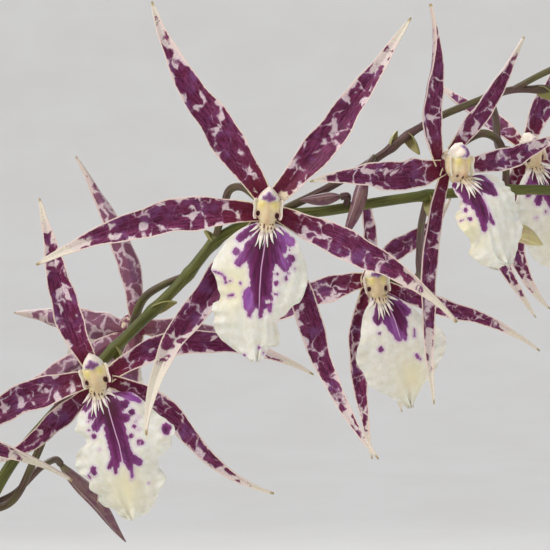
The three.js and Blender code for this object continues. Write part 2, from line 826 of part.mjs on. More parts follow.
// Papery husk wrapped part of the way round a pseudobulb's foot
function buildHusk({ bulb, low, high, from, to }, seed) {
  const { foot, height, breadth, thick, turn } = BULBS[bulb];
  const random = seeded(seed);
  const columns = 8;
  const rows = 3;
  const tear = Array.from({ length: columns }, () => random() * 0.34);
  const faces = [[], []];
  for (let i = 0; i <= rows; i += 1) {
    faces.forEach((face, layer) => {
      face[i] = tear.map((loss, j) => {
        const z = low + (high * (1 - loss) - low) * (i / rows);
        const share = along(BULB_OUTLINE, z / height);
        const flare = GAP + 0.75 + 2 * (i / rows) + (layer === 0 ? SHEATH_THICK : 0);
        const angle = radians(from + ((to - from) * j) / (columns - 1));
        const local = new THREE.Vector3(
          Math.cos(angle) * ((breadth / 2) * share + flare),
          Math.sin(angle) * ((thick / 2) * share + flare),
          0,
        );
        local.applyAxisAngle(up, radians(turn));
        return local.add(new THREE.Vector3(foot[0], foot[1], RHIZOME_LEVEL + z));
      });
    });
  }
  return sheet(faces[0], faces[1]);
}

// One chip of bark, an uneven block
function barkChip(random, radius, angle) {
  const spin = new THREE.Quaternion().setFromEuler(
    new THREE.Euler((random() - 0.5) * 0.9, (random() - 0.5) * 0.9, random() * Math.PI),
  );
  const size = [CHIP_LENGTH, CHIP_WIDTH, CHIP_THICK].map((side) => (side * (0.7 + 0.5 * random())) / 2);
  const centre = new THREE.Vector3(
    radius * Math.cos(angle),
    radius * Math.sin(angle),
    BARK_TOP - 1.6 + random() * 2.4,
  );
  const corner = (x, y, z) => new THREE.Vector3(
    x * size[0] * (0.8 + 0.2 * random()),
    y * size[1] * (0.8 + 0.2 * random()),
    z * size[2],
  ).applyQuaternion(spin).add(centre);
  const ring = (z) => [corner(-1, -1, z), corner(1, -1, z), corner(1, 1, z), corner(-1, 1, z)];
  return loft([ring(-1), ring(1)]);
}

// Bark mix: a plug that fills the pot, with chips lying in its top and plain holes for the plant
function buildBark(holes) {
  const random = seeded(8);
  const slope = (innerTop - innerFoot) / (POT_HEIGHT - 2 - POT_FLOOR);
  const wallAt = (z) => innerFoot + slope * (z - POT_FLOOR) - GAP - 0.1;
  const plug = (top) => turned([
    [0, POT_FLOOR + GAP],
    [wallAt(POT_FLOOR + GAP) - 0.4, POT_FLOOR + GAP],
    [wallAt(top) - 0.4, top],
    [0, top],
  ], 24);
  const golden = Math.PI * (3 - Math.sqrt(5));
  const chips = [];
  for (let i = 0; i < CHIP_COUNT; i += 1) {
    const radius = (wallAt(BARK_TOP) - 6) * Math.sqrt((i + 0.5) / CHIP_COUNT);
    chips.push(barkChip(random, radius, i * golden));
  }
  let bark = joined([plug(BARK_TOP - 3), ...chips]).intersect(plug(BARK_TOP + 9));
  for (const hole of holes) {
    bark = bark.subtract(hole);
  }
  return joined([bark]);
}

// Way a bloom faces, as a rotation of its own frame, with the lean of its lip or column
function bloomTurn({ yaw, nod }, lean = 0) {
  return new THREE.Quaternion().setFromEuler(
    new THREE.Euler(radians(nod), radians(lean), radians(yaw), "ZXY"),
  );
}

// Six or so tepals joined at the bloom's heart
function buildTepals(bloom, seed) {
  const random = seeded(seed);
  const turn = bloomTurn(bloom);
  const face = new THREE.Vector3(0, -1, 0).applyQuaternion(turn);
  const centre = vector(bloom.at);
  const parts = bloom.tepals.map((tepal) => {
    const aim = (u) => {
      const bend = tepal.bends[0] * Math.min(2 * u, 1) + tepal.bends[1] * Math.max(2 * u - 1, 0);
      const heading = radians(tepal.turn + bend);
      const lift = radians(through(tepal.lift, u));
      return new THREE.Vector3(
        Math.cos(lift) * Math.cos(heading),
        -Math.sin(lift),
        Math.cos(lift) * Math.sin(heading),
      );
    };
    const from = new THREE.Vector3(tepal.root[0], HEART_DEPTH, tepal.root[1]);
    from.addScaledVector(aim(0), -TEPAL_INSET);
    const phase = random() * 6;
    const course = turnedCourse(trace(from, tepal.length + TEPAL_INSET, TEPAL_STEPS, aim), turn, centre);
    return blade(course, () => face, {
      width: tepal.width,
      outline: TEPAL_OUTLINE,
      thick: TEPAL_THICK,
      channel: (u) => 0.16 + 0.1 * Math.sin(3 * u),
      twist: (u) => through(tepal.twist, u),
      edge: (side, u) => 0.16 * Math.sin(11 * u + phase + side) * Math.min(1, 4 * u) * (1 - u),
    });
  });
  const ring = (depth, radius) => Array.from({ length: 8 }, (_, k) => {
    const angle = (Math.PI * (2 * k + 1)) / 8;
    const local = new THREE.Vector3(Math.cos(angle) * radius, depth, Math.sin(angle) * radius);
    return local.applyQuaternion(turn).add(centre);
  });
  const core = loft([
    ring(HEART_FRONT, HEART_RADIUS * 0.74), ring(HEART_DEPTH, HEART_RADIUS), ring(HEART_BACK, 1.9),
  ]);
  return joined([core, ...parts]);
}

// Lip: a broad, ruffled, slightly domed sheet that hangs from the column's foot
function lipHalf(lip, side, v) {
  const widths = side < 0 ? lip.left : lip.right;
  return along(widths.map((value, i) => [i / (widths.length - 1), value]), v);
}

function lipPoint(lip, s, v, phase) {
  const half = lipHalf(lip, s, v);
  const ruffle = LIP_RUFFLE * Math.sin(17 * v + phase + s * 2) * s * s * Math.min(1, 5 * v);
  const bulge = LIP_BULGE * Math.sin(Math.PI * Math.min(1, v * 1.1) ** 0.8);
  const reflex = LIP_REFLEX * s * s * Math.min(1, 4 * v);
  return new THREE.Vector3(s * half, LIP_SETBACK - bulge + reflex + ruffle, LIP_TOP - v * lip.length);
}

// Puts a point of the lip's own frame in place: swung forward at its throat, then with its bloom
function lipPlace(bloom, point) {
  const throat = new THREE.Vector3(0, LIP_SETBACK, LIP_TOP);
  const swing = new THREE.Quaternion().setFromEuler(new THREE.Euler(radians(-bloom.swing), 0, 0));
  const turned = point.clone().sub(throat).applyQuaternion(swing).add(throat);
  return turned.applyQuaternion(bloomTurn(bloom, bloom.lean)).add(vector(bloom.at));
}

function buildLip(bloom, phase) {
  const lip = LIPS[bloom.lip];
  const rows = lip.left.length - 1;
  const step = 0.01;
  const faces = [[], []];
  for (let i = 0; i <= rows; i += 1) {
    const v = i / rows;
    faces.forEach((face, layer) => {
      face[i] = LIP_COLUMNS.map((s) => {
        const place = lipPoint(lip, s, v, phase);
        const reach = s > 0 ? -step : step;
        const across = lipPoint(lip, s + reach, v, phase).sub(place).divideScalar(reach);
        const above = lipPoint(lip, s, Math.max(0, v - step), phase);
        const below = lipPoint(lip, s, Math.min(1, v + step), phase);
        const normal = new THREE.Vector3().crossVectors(across, below.sub(above)).normalize();
        const back = normal.y > 0 ? 1 : -1;
        return lipPlace(bloom, place.addScaledVector(normal, layer * back * LIP_THICK));
      });
    });
  }
  return sheet(faces[0], faces[1]);
}

// Column: hooded, flat at the back, winged at the sides, with ridges raying out over the lip
const COLUMN_STATIONS = [
  [-4.6, 1.8, 2.0], [-2.6, 3.5, 3.9], [1.9, 3.4, 4.7], [2.3, 3.8, 5.5], [4.2, 2.9, 4.9], [5.6, 0.8, 3.0],
];
const COLUMN_SECTION = [[-1, 0], [-0.8, 0.66], [-0.3, 0.95], [0.3, 0.95], [0.8, 0.66], [1, 0]];
const WING_ROOT = [[2.9, -0.4, 1.6], [2.9, -0.4, -2.6], [2.9, -2.8, -2.2], [2.9, -2.8, 1.2]];
const WING_EDGE = [[4.4, -1.4, 1.0], [4.6, -1.4, -1.6], [4.6, -2.5, -1.4], [4.4, -2.5, 0.8]];
// Ridges: how far each leans from straight down, and its length
const RIDGES = [[-50, 6.4], [-25, 8.2], [0, 9.8], [25, 8.4], [50, 6.6]];
const RIDGE_ROOT = [0, -2.4, -2.9];
const RIDGE_RADII = [[0, 0.8], [0.55, 0.62], [1, 0.34]];
const RIDGE_CLEARANCE = 0.35;
function buildColumn(bloom, phase) {
  const lip = LIPS[bloom.lip];
  const turn = bloomTurn(bloom, bloom.tilt);
  const centre = vector(bloom.at);
  const place = (point) => point.clone().applyQuaternion(turn).add(centre);
  const back = HEART_FRONT - GAP;
  const body = COLUMN_STATIONS.map(([z, half, depth]) => COLUMN_SECTION.map(
    ([x, y]) => place(new THREE.Vector3(x * half, back - y * (depth + back), z)),
  ));
  const wing = (side) => [WING_ROOT, WING_EDGE].map((ring) => ring.map(
    ([x, y, z]) => place(new THREE.Vector3(side * x, y, z)),
  ));
  const lipFront = (x, z) => {
    const v = Math.max(0, (LIP_TOP - z) / lip.length);
    const half = lipHalf(lip, Math.sign(x), v);
    return lipPoint(lip, Math.max(-1, Math.min(1, x / half)), v, phase).y;
  };
  // Each ridge sets off inside the column and lies just over the lip
  const ridge = ([angle, length]) => RIDGE_RADII.map(([share, radius]) => {
    const [dx, dz] = [Math.sin(radians(angle)), -Math.cos(radians(angle))];
    const x = RIDGE_ROOT[0] + dx * length * share;
    const z = RIDGE_ROOT[2] + dz * length * share;
    const reach = 1.3 * radius;
    const nearest = Math.min(
      lipFront(x - reach, z),
      lipFront(x + reach, z),
      lipFront(x, z - reach),
      lipFront(x, z + reach),
    );
    const y = share === 0 ? RIDGE_ROOT[1] : Math.min(nearest - radius * 0.6 - RIDGE_CLEARANCE, -2);
    const section = [
      [-dz * radius, radius * 0.6, dx * radius],
      [0, -radius, 0],
      [dz * radius, radius * 0.6, -dx * radius],
    ];
    const local = section.map(([rx, ry, rz]) => new THREE.Vector3(x + rx, y + ry, z + rz));
    return local.map((point) => (share === 0 ? place(point) : lipPlace(bloom, point)));
  });
  return joined([loft(body), loft(wing(-1)), loft(wing(1)), ...RIDGES.map((row) => loft(ridge(row)))]);
}

// Long pointed bud at the end of its stalk
const BUD_SIDES = 6;
function buildBud(bud, tip) {
  const aim = vector(bud.aim).normalize();
  const from = tip.clone().addScaledVector(aim, GAP);
  const across = new THREE.Vector3().crossVectors(aim, new THREE.Vector3(0.1, 1, 0)).normalize();
  const other = new THREE.Vector3().crossVectors(aim, across);
  const outline = [[0, 0.34], [0.14, 0.72], [0.34, 1], [0.62, 0.82], [0.86, 0.4], [1, 0.1]];
  return loft(outline.map(([u, share]) => Array.from({ length: BUD_SIDES }, (_, k) => {
    const angle = (2 * Math.PI * k) / BUD_SIDES;
    const radius = (bud.width / 2) * share * (k % 2 ? 0.9 : 1);
    return from.clone().addScaledVector(aim, bud.length * u)
      .addScaledVector(across, Math.cos(angle) * radius)
      .addScaledVector(other, Math.sin(angle) * radius);
  })));
}

// Stalk of a bud, with a last short length in line with the bud
const BUD_NECK = 2;
function budStalk(bud) {
  const line = bud.stalk.length ? bud.stalk : { bud_branch_tip: BRANCH, bud_end_tip: MAIN_STEM }[bud.name];
  const last = vector(line[line.length - 1]);
  const tip = last.addScaledVector(vector(bud.aim).normalize(), BUD_NECK);
  return { line: [...line, tip.toArray()], tip };
}

// Small boat-shaped bract that clasps the stem
const BRACT_STEPS = 3;
const BRACT_OUTLINE = [[0, 0.6], [0.25, 1], [0.5, 0.92], [0.75, 0.6], [1, 0.14]];
function buildBract({ at, aim, length, width }) {
  const way = vector(aim).normalize();
  const from = vector(at).addScaledVector(way, -0.8);
  const curl = (u) => way.clone().addScaledVector(up, -0.5 * u * u).normalize();
  const front = Math.abs(way.y) > 0.6 ? new THREE.Vector3(0, -0.4, 1) : new THREE.Vector3(0, -1, 0.2);
  return blade(trace(from, length + 0.8, BRACT_STEPS, curl), () => front, {
    width,
    outline: BRACT_OUTLINE,
    thick: 0.7,
    channel: () => 0.4,
    twist: () => 60,
    edge: () => 0,
  });
}

// Stem, branch, bloom stalks and bracts, grown as one
function buildSpray() {
  const tipOf = (name) => budStalk(BUDS.find((bud) => bud.name === name)).line;
  const mainRadius = (u) => {
    const swell = (SPIKE_FOOT_RADIUS - STEM_RADIUS) * Math.max(0, 1 - 1.6 * u);
    return STEM_RADIUS + swell - Math.max(0, u - 0.75);
  };
  const parts = [
    stem(tipOf("bud_end_tip"), mainRadius, STEM_SIDES, 25),
    stem(tipOf("bud_branch_tip"), (u) => BRANCH_RADIUS - 0.35 * u, 5, 15),
  ];
  PEDICELS.forEach(({ bloom, course }) => {
    const carried = BLOOMS.find(({ name }) => name === bloom);
    const turn = bloomTurn(carried);
    const behind = (depth) => {
      const place = new THREE.Vector3(0, depth, 0).applyQuaternion(turn);
      return place.add(vector(carried.at)).toArray();
    };
    const line = [...course, behind(HEART_BACK + GAP + 3), behind(HEART_BACK + GAP)];
    parts.push(stem(line, (u) => PEDICEL_RADIUS + (OVARY_RADIUS - PEDICEL_RADIUS) * u, 5, 7));
  });
  BUDS.filter(({ stalk }) => stalk.length).forEach((bud) => {
    parts.push(stem(budStalk(bud).line, (u) => 1.0 + 0.15 * u, 4, 4));
  });
  BRACTS.forEach((bract) => parts.push(buildBract(bract)));
  return joined(parts);
}

piece("pot", buildPot(), "clay");

const clump = buildClump(0);
const clumpHole = buildClump(GAP + 0.1);
const rootHole = ({ course }) => stem(course, () => ROOT_RADIUS + GAP + 0.3, 5, 7, GAP);
const spikeHole = stem(MAIN_STEM.slice(0, 4), () => SPIKE_FOOT_RADIUS + 3 * GAP, STEM_SIDES, 4, GAP);
const lowLeaves = LEAVES.filter(({ foot }) => foot[2] < BARK_TOP + 5);
const footHole = (leaf) => {
  const aim = leafAim(leaf, 0);
  const points = [-2 * GAP, 8, 16].map((reach) => vector(leaf.foot).addScaledVector(aim, reach).toArray());
  return stem(points, (u) => leaf.width * (0.16 + 0.05 * u) + 0.9, 6, 2);
};
const holes = [clumpHole, spikeHole, ...ROOTS.map(rootHole), ...lowLeaves.map(footHole)];
piece("bark", buildBark(holes), "bark");
piece("pseudobulbs", clump, "bulb");
ROOTS.forEach(({ name, course }) => {
  piece(name, joined([stem(course, () => ROOT_RADIUS, 5, 7).subtract(clumpHole)]), "root");
});
LEAVES.forEach((leaf) => piece(leaf.name, joined([buildLeaf(leaf).subtract(clumpHole)]), "leaf"));
HUSKS.forEach((husk, i) => piece(husk.name, buildHusk(husk, 40 + i), "husk"));
piece("flower_stem", joined([buildSpray().subtract(clumpHole)]), "stem");

BLOOMS.forEach((bloom, i) => {
  const phase = 1.7 * i;
  piece(`${bloom.name}_tepals`, buildTepals(bloom, 11 + i), "tepal");
  piece(`${bloom.name}_lip`, buildLip(bloom, phase), "lip");
  piece(`${bloom.name}_column`, buildColumn(bloom, phase), "column");
});

BUDS.forEach((bud) => piece(bud.name, buildBud(bud, budStalk(bud).tip), bud.colour));

export default plant;
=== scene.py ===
import math

import bpy
import numpy as np
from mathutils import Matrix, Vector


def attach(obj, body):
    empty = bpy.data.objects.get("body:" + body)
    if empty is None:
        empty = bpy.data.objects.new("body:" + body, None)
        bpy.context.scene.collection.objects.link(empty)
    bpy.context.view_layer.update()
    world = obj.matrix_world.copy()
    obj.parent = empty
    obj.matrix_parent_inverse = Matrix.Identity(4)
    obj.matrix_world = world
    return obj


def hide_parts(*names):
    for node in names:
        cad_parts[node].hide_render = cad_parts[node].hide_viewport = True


# The potted miltassia orchid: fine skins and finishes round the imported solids.
# Sizes are in millimetres, in the frame of the solids, and become metres where a mesh is made.
# X runs to the right of the photograph, Y away from the eye and Z up.

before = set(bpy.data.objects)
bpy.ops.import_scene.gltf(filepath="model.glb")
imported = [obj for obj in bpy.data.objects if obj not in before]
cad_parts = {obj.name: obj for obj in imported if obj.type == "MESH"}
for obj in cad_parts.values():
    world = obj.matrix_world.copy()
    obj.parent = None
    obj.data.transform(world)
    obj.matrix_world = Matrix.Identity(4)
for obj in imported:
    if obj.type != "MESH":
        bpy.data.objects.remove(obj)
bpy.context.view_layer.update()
MM = 0.001

# Clay pot
POT_HEIGHT = 118
POT_FOOT_RADIUS = 46
POT_TOP_RADIUS = 60
RIM_RADIUS = 65
RIM_HEIGHT = 22
POT_WALL = 5.5
POT_FLOOR = 7
POT_SIDES = 144
POT_STEP = 3
POT_WOBBLE = 0.0025
INNER_FOOT = POT_FOOT_RADIUS - POT_WALL
INNER_TOP = POT_TOP_RADIUS - POT_WALL
DRAIN_COUNT = 5
DRAIN_RADIUS = 5
DRAIN_CIRCLE = 25
DRAIN_SIDES = 24
DRILL_SPARE = 3

# Bark mix in the pot: the bed, and the loose chips that lie a little over it
BARK_TOP = 100
BED_LEVEL = BARK_TOP - 3
BED_EDGE = BARK_TOP - 4
BED_TONE = 0.12
BED_RINGS = 12
BED_SIDES = 72
CHIP_COUNT = 170
CHIP_SIZE = (20, 13, 6)
CHIP_SHARES = (0.55, 1.1)
CHIP_LEVELS = (-3.4, 1.6)
CHIP_PITCH = 24
CHIP_ROLL = 20
CHIP_MARGIN = 8
CHIP_TONES = (0.15, 1.0)
CHIP_SHIFT = 90
CHIP_ROWS = 10
CHIP_SIDES = 20

# Blades
TEPAL_THICK = 0.8
LIP_THICK = 0.6
LEAF_THICK = 1.4
SHEATH_THICK = 0.7
COURSE_STEPS = 72
TEPAL_COLUMNS = 19
NEAR_STEPS = 88
NEAR_COLUMNS = 27
LEAF_COLUMNS = 25
TEPAL_OUTLINE = [
    (0, 0.5), (0.12, 0.72), (0.3, 1), (0.45, 0.95), (0.6, 0.74), (0.75, 0.48), (0.88, 0.27), (0.96, 0.15),
    (1, 0.04),
]
LEAF_OUTLINE = [
    (0, 0.25), (0.12, 0.42), (0.35, 0.9), (0.55, 1), (0.75, 0.84), (0.9, 0.48), (0.97, 0.2), (1, 0.03),
]

# Heart of a bloom
TEPAL_INSET = 1.6
HEART_DEPTH = 2.3
HEART_FRONT = 0.7
HEART_BACK = 4.0
HEART_RADIUS = 4.3
HEART_SIDES = 32
HEART_STATIONS = [
    (HEART_FRONT, 0.5), (HEART_FRONT, 0.74), (1.2, 0.9), (HEART_DEPTH, 1.0), (3.1, 0.85),
    (HEART_BACK - 0.3, 0.6), (HEART_BACK, 1.9 / HEART_RADIUS),
]

# Stems: radii, and each tube's sides and rows
STEM_RADIUS = 1.7
BRANCH_RADIUS = 1.35
PEDICEL_RADIUS = 1.2
OVARY_RADIUS = 1.5
SPIKE_FOOT_RADIUS = 2.6
NODE_SWELL = 0.42
NODE_REACH = 2.0
MAIN_TUBE = (24, 420)
BRANCH_TUBE = (20, 190)
STALK_TUBE = (18, 60)
BUD_STALK_TUBE = (14, 34)
BUD_NECK = 2
BUD_OUTLINE = [(0, 0.34), (0.14, 0.72), (0.34, 1), (0.62, 0.82), (0.86, 0.4), (1, 0.08)]
BUD_ROWS = 48
BUD_SIDES = 36
BRACT_OUTLINE = [(0, 0.6), (0.25, 1), (0.5, 0.92), (0.75, 0.6), (0.93, 0.25), (1, 0.05)]
BRACT_THICK = 0.6
BRACT_STEPS = 18
BRACT_COLUMNS = 13
BRACT_SUNK = 0.8
# Steps between two points of a stem
CURVE_STEPS = 24
# Room left between neighbouring solids
GAP = 0.3

# Lips
LIP_TOP = -5.2
LIP_SETBACK = -1.1
LIP_BULGE = 4.2
LIP_REFLEX = 3.2
LIP_RUFFLE = 0.9
LIP_COLUMNS = 69
LIP_ROWS = 109
FAR_LIP_COLUMNS = 47
FAR_LIP_ROWS = 75
LIP_CROWDING = 0.9
LIP_PHASE = 1.7
FAN_ROOT = 6
FAN_SPREAD = 15
# Distance given where no mark is near, widths over which tones and marks flow together, and the cream's
# spread across and down
NO_MARK = 30.0
TONE_FLOW = 1.2
MARK_FLOW = 0.5
CREAM_SPREAD = (5, 7)
PATTERN_SHIFT = 40

# Starts of the repeatable random draws
BARK_SEED = 17
CHIP_SEED = 100
ROOT_SEED = 60
HUSK_SEED = 40
TEPAL_SEED = 11


def tepal(root, length, width, turn, bends, lift, twist, tip=0.86):
    """One tepal's row, as in the solids, with where its pale tip sets in."""
    return dict(
        root=root, length=length, width=width, turn=turn, bends=bends, lift=lift, twist=twist, tip=tip,
    )


def bloom(name, at, yaw, lean, tilt, swing, lip, tepals):
    """One bloom's row: place, turn of its face, lean of its lip, tilt of its column, swing of its lip."""
    return dict(
        name="bloom_" + name, at=np.array(at, float), yaw=yaw, lean=lean, tilt=tilt, swing=swing, lip=lip,
        tepals=tepals,
    )


BLOOMS = [
    bloom("front", (197.7, -30, 520.3), 0, 4, 4, 0, "front", [
        tepal((-1, 2.6), 66.5, 9.9, 122, (4, -21), (12, 2, -12), (0, 6, 16), 0.92),
        tepal((2.4, 2.4), 66, 9.4, 44, (11, 2), (12, 4, -10), (0, -10, -20), 0.88),
        tepal((-3.2, -2.1), 67, 9.9, 174, (21, 12), (10, 2, -6), (0, -8, 30), 0.84),
        tepal((3.8, -2.6), 60.8, 9, -24, (-2, -25), (8, 6, 6), (0, 12, 70), 0.78),
        tepal((-1.5, -4.3), 74, 8.6, -127, (0, 36), (-12, 10, 30), (0, -14, 24), 0.7),
        tepal((1.8, -4.9), 76.5, 7.8, -67, (-6, 22), (-12, 2, 8), (0, 14, -10), 0.93),
    ]),
    bloom("lower", (148, -25, 469.7), 0, -13, -16, 0, "lower", [
        tepal((-2.1, 3.5), 52.5, 8.2, 121, (-18, 2), (4, -3, -12), (0, 8, -10), 0.86),
        tepal((-2.6, -0.5), 56, 9.2, -172, (21, 6), (8, -8, -15), (0, 10, 30)),
        tepal((2.9, 0.4), 69, 7.6, 44, (-48, -28), (-22, -22, -8), (0, -16, 24)),
        tepal((2.6, -0.8), 61, 6.8, -10, (-45, 39), (-6, -4, 0), (0, 20, 30), 0.88),
        tepal((-2.9, -4.2), 44, 6.6, -138, (0, -34), (-24, -20, -10), (0, 20, 40)),
    ]),
    bloom("upper", (253.7, -20, 533.4), 30, -16, -2, 24, "upper", [
        tepal((-5, 0.9), 46.5, 8.2, 117, (-37, 20), (4, 6, -12), (10, 14, 60), 0.88),
        tepal((1.1, 4.6), 40.5, 7.2, 55, (2, 1), (14, 10, -4), (0, 16, 20), 0.86),
        tepal((-4, -1.8), 45, 9.2, -165, (-15, 11), (6, 0, -8), (0, -10, 14), 0.93),
        tepal((3, -0.6), 47, 6.8, -1, (20, 6), (6, -8, -14), (0, -20, -34), 0.88),
        tepal((-2.4, -3.3), 69, 7, -105, (14, 7), (-10, 0, 4), (-6, -16, 30), 0.84),
        tepal((1.7, -4.2), 58, 6.4, -45, (-4, -2), (-20, -12, 0), (0, 14, 30)),
    ]),
    bloom("turned_away", (155.7, 16, 483.8), 180, -40, -40, 52, "side", [
        tepal((-0.6, 2.1), 58, 6.9, 93, (-29, -7), (6, 14, 20), (0, 10, 30)),
        tepal((0.9, -1), 42, 9, 5, (7, -12), (10, 24, 34), (0, -14, 30)),
        tepal((-2.6, 0), 46, 8, 185, (6, 0), (20, 40, 40), (0, 10, 20)),
        tepal((-1.2, -2.6), 54, 8, -75, (-6, 10), (-6, -12, 20), (0, 10, 20)),
        tepal((2.2, -2.4), 50, 7.6, -32, (4, 10), (-4, 6, 20), (0, -10, 20)),
    ]),
    bloom("behind", (232.4, 40, 498.4), 10, -16, -8, 0, "behind", [
        tepal((-2.6, 0), 44, 8.4, -174, (22, 12), (4, -10, -30), (0, 10, 30)),
        tepal((-2.4, -3.1), 56, 6.4, -104, (19, 5), (-12, 2, 8), (0, 10, 30)),
        tepal((3.3, -1.5), 56, 6, -26, (12, -26), (6, 8, 10), (0, 10, 40), 0.8),
        tepal((0.9, 3.6), 34, 7, 53, (-25, 42), (6, 10, 16), (0, 10, 20)),
        tepal((-0.8, 4), 36, 5.6, 92, (12, 14), (10, 24, 30), (0, 30, 60)),
        tepal((2, -4), 46, 6.4, -70, (-6, 4), (-30, -26, -10), (0, 10, 20)),
    ]),
    bloom("end", (280.7, 25, 539.6), 25, -16, -16, 10, "side", [
        tepal((1, 3.2), 46, 8.4, 66, (-13, -20), (-4, -10, -20), (0, 10, 30)),
        tepal((-1.3, -3.2), 52, 7.8, -111, (32, 39), (-8, -2, 4), (0, 20, 40)),
        tepal((3, -0.6), 50, 8, -8, (14, -10), (-4, -12, -20), (0, 10, 30)),
        tepal((2, -3.6), 50, 7.6, -58, (8, 10), (-18, -14, -4), (0, 10, 30)),
        tepal((-2, 2.6), 44, 7.4, 128, (-10, -10), (-40, -60, -50), (0, 10, 20)),
    ]),
    bloom("side", (86.8, -38, 451.4), -34, 6, 6, 0, "side", [
        tepal((-0.6, 3), 60, 9, 112, (8, -18), (10, 0, -14), (0, 8, 20)),
        tepal((2, 2.6), 55, 8.8, 66, (10, 4), (6, -4, -16), (0, -10, -20)),
        tepal((-2.8, 0), 60, 9, 178, (14, 16), (4, -8, -16), (0, -8, 20)),
        tepal((2.4, 0), 55, 7.4, 24, (-44, -26), (-18, -38, -42), (0, 14, 50), 0.72),
        tepal((-1.8, -3.6), 62, 8, -127, (4, 30), (-16, -6, 6), (0, -12, 20)),
        tepal((1.4, -4.2), 60, 7.6, -68, (-6, 20), (-16, -4, 6), (0, 12, 20)),
    ]),
]

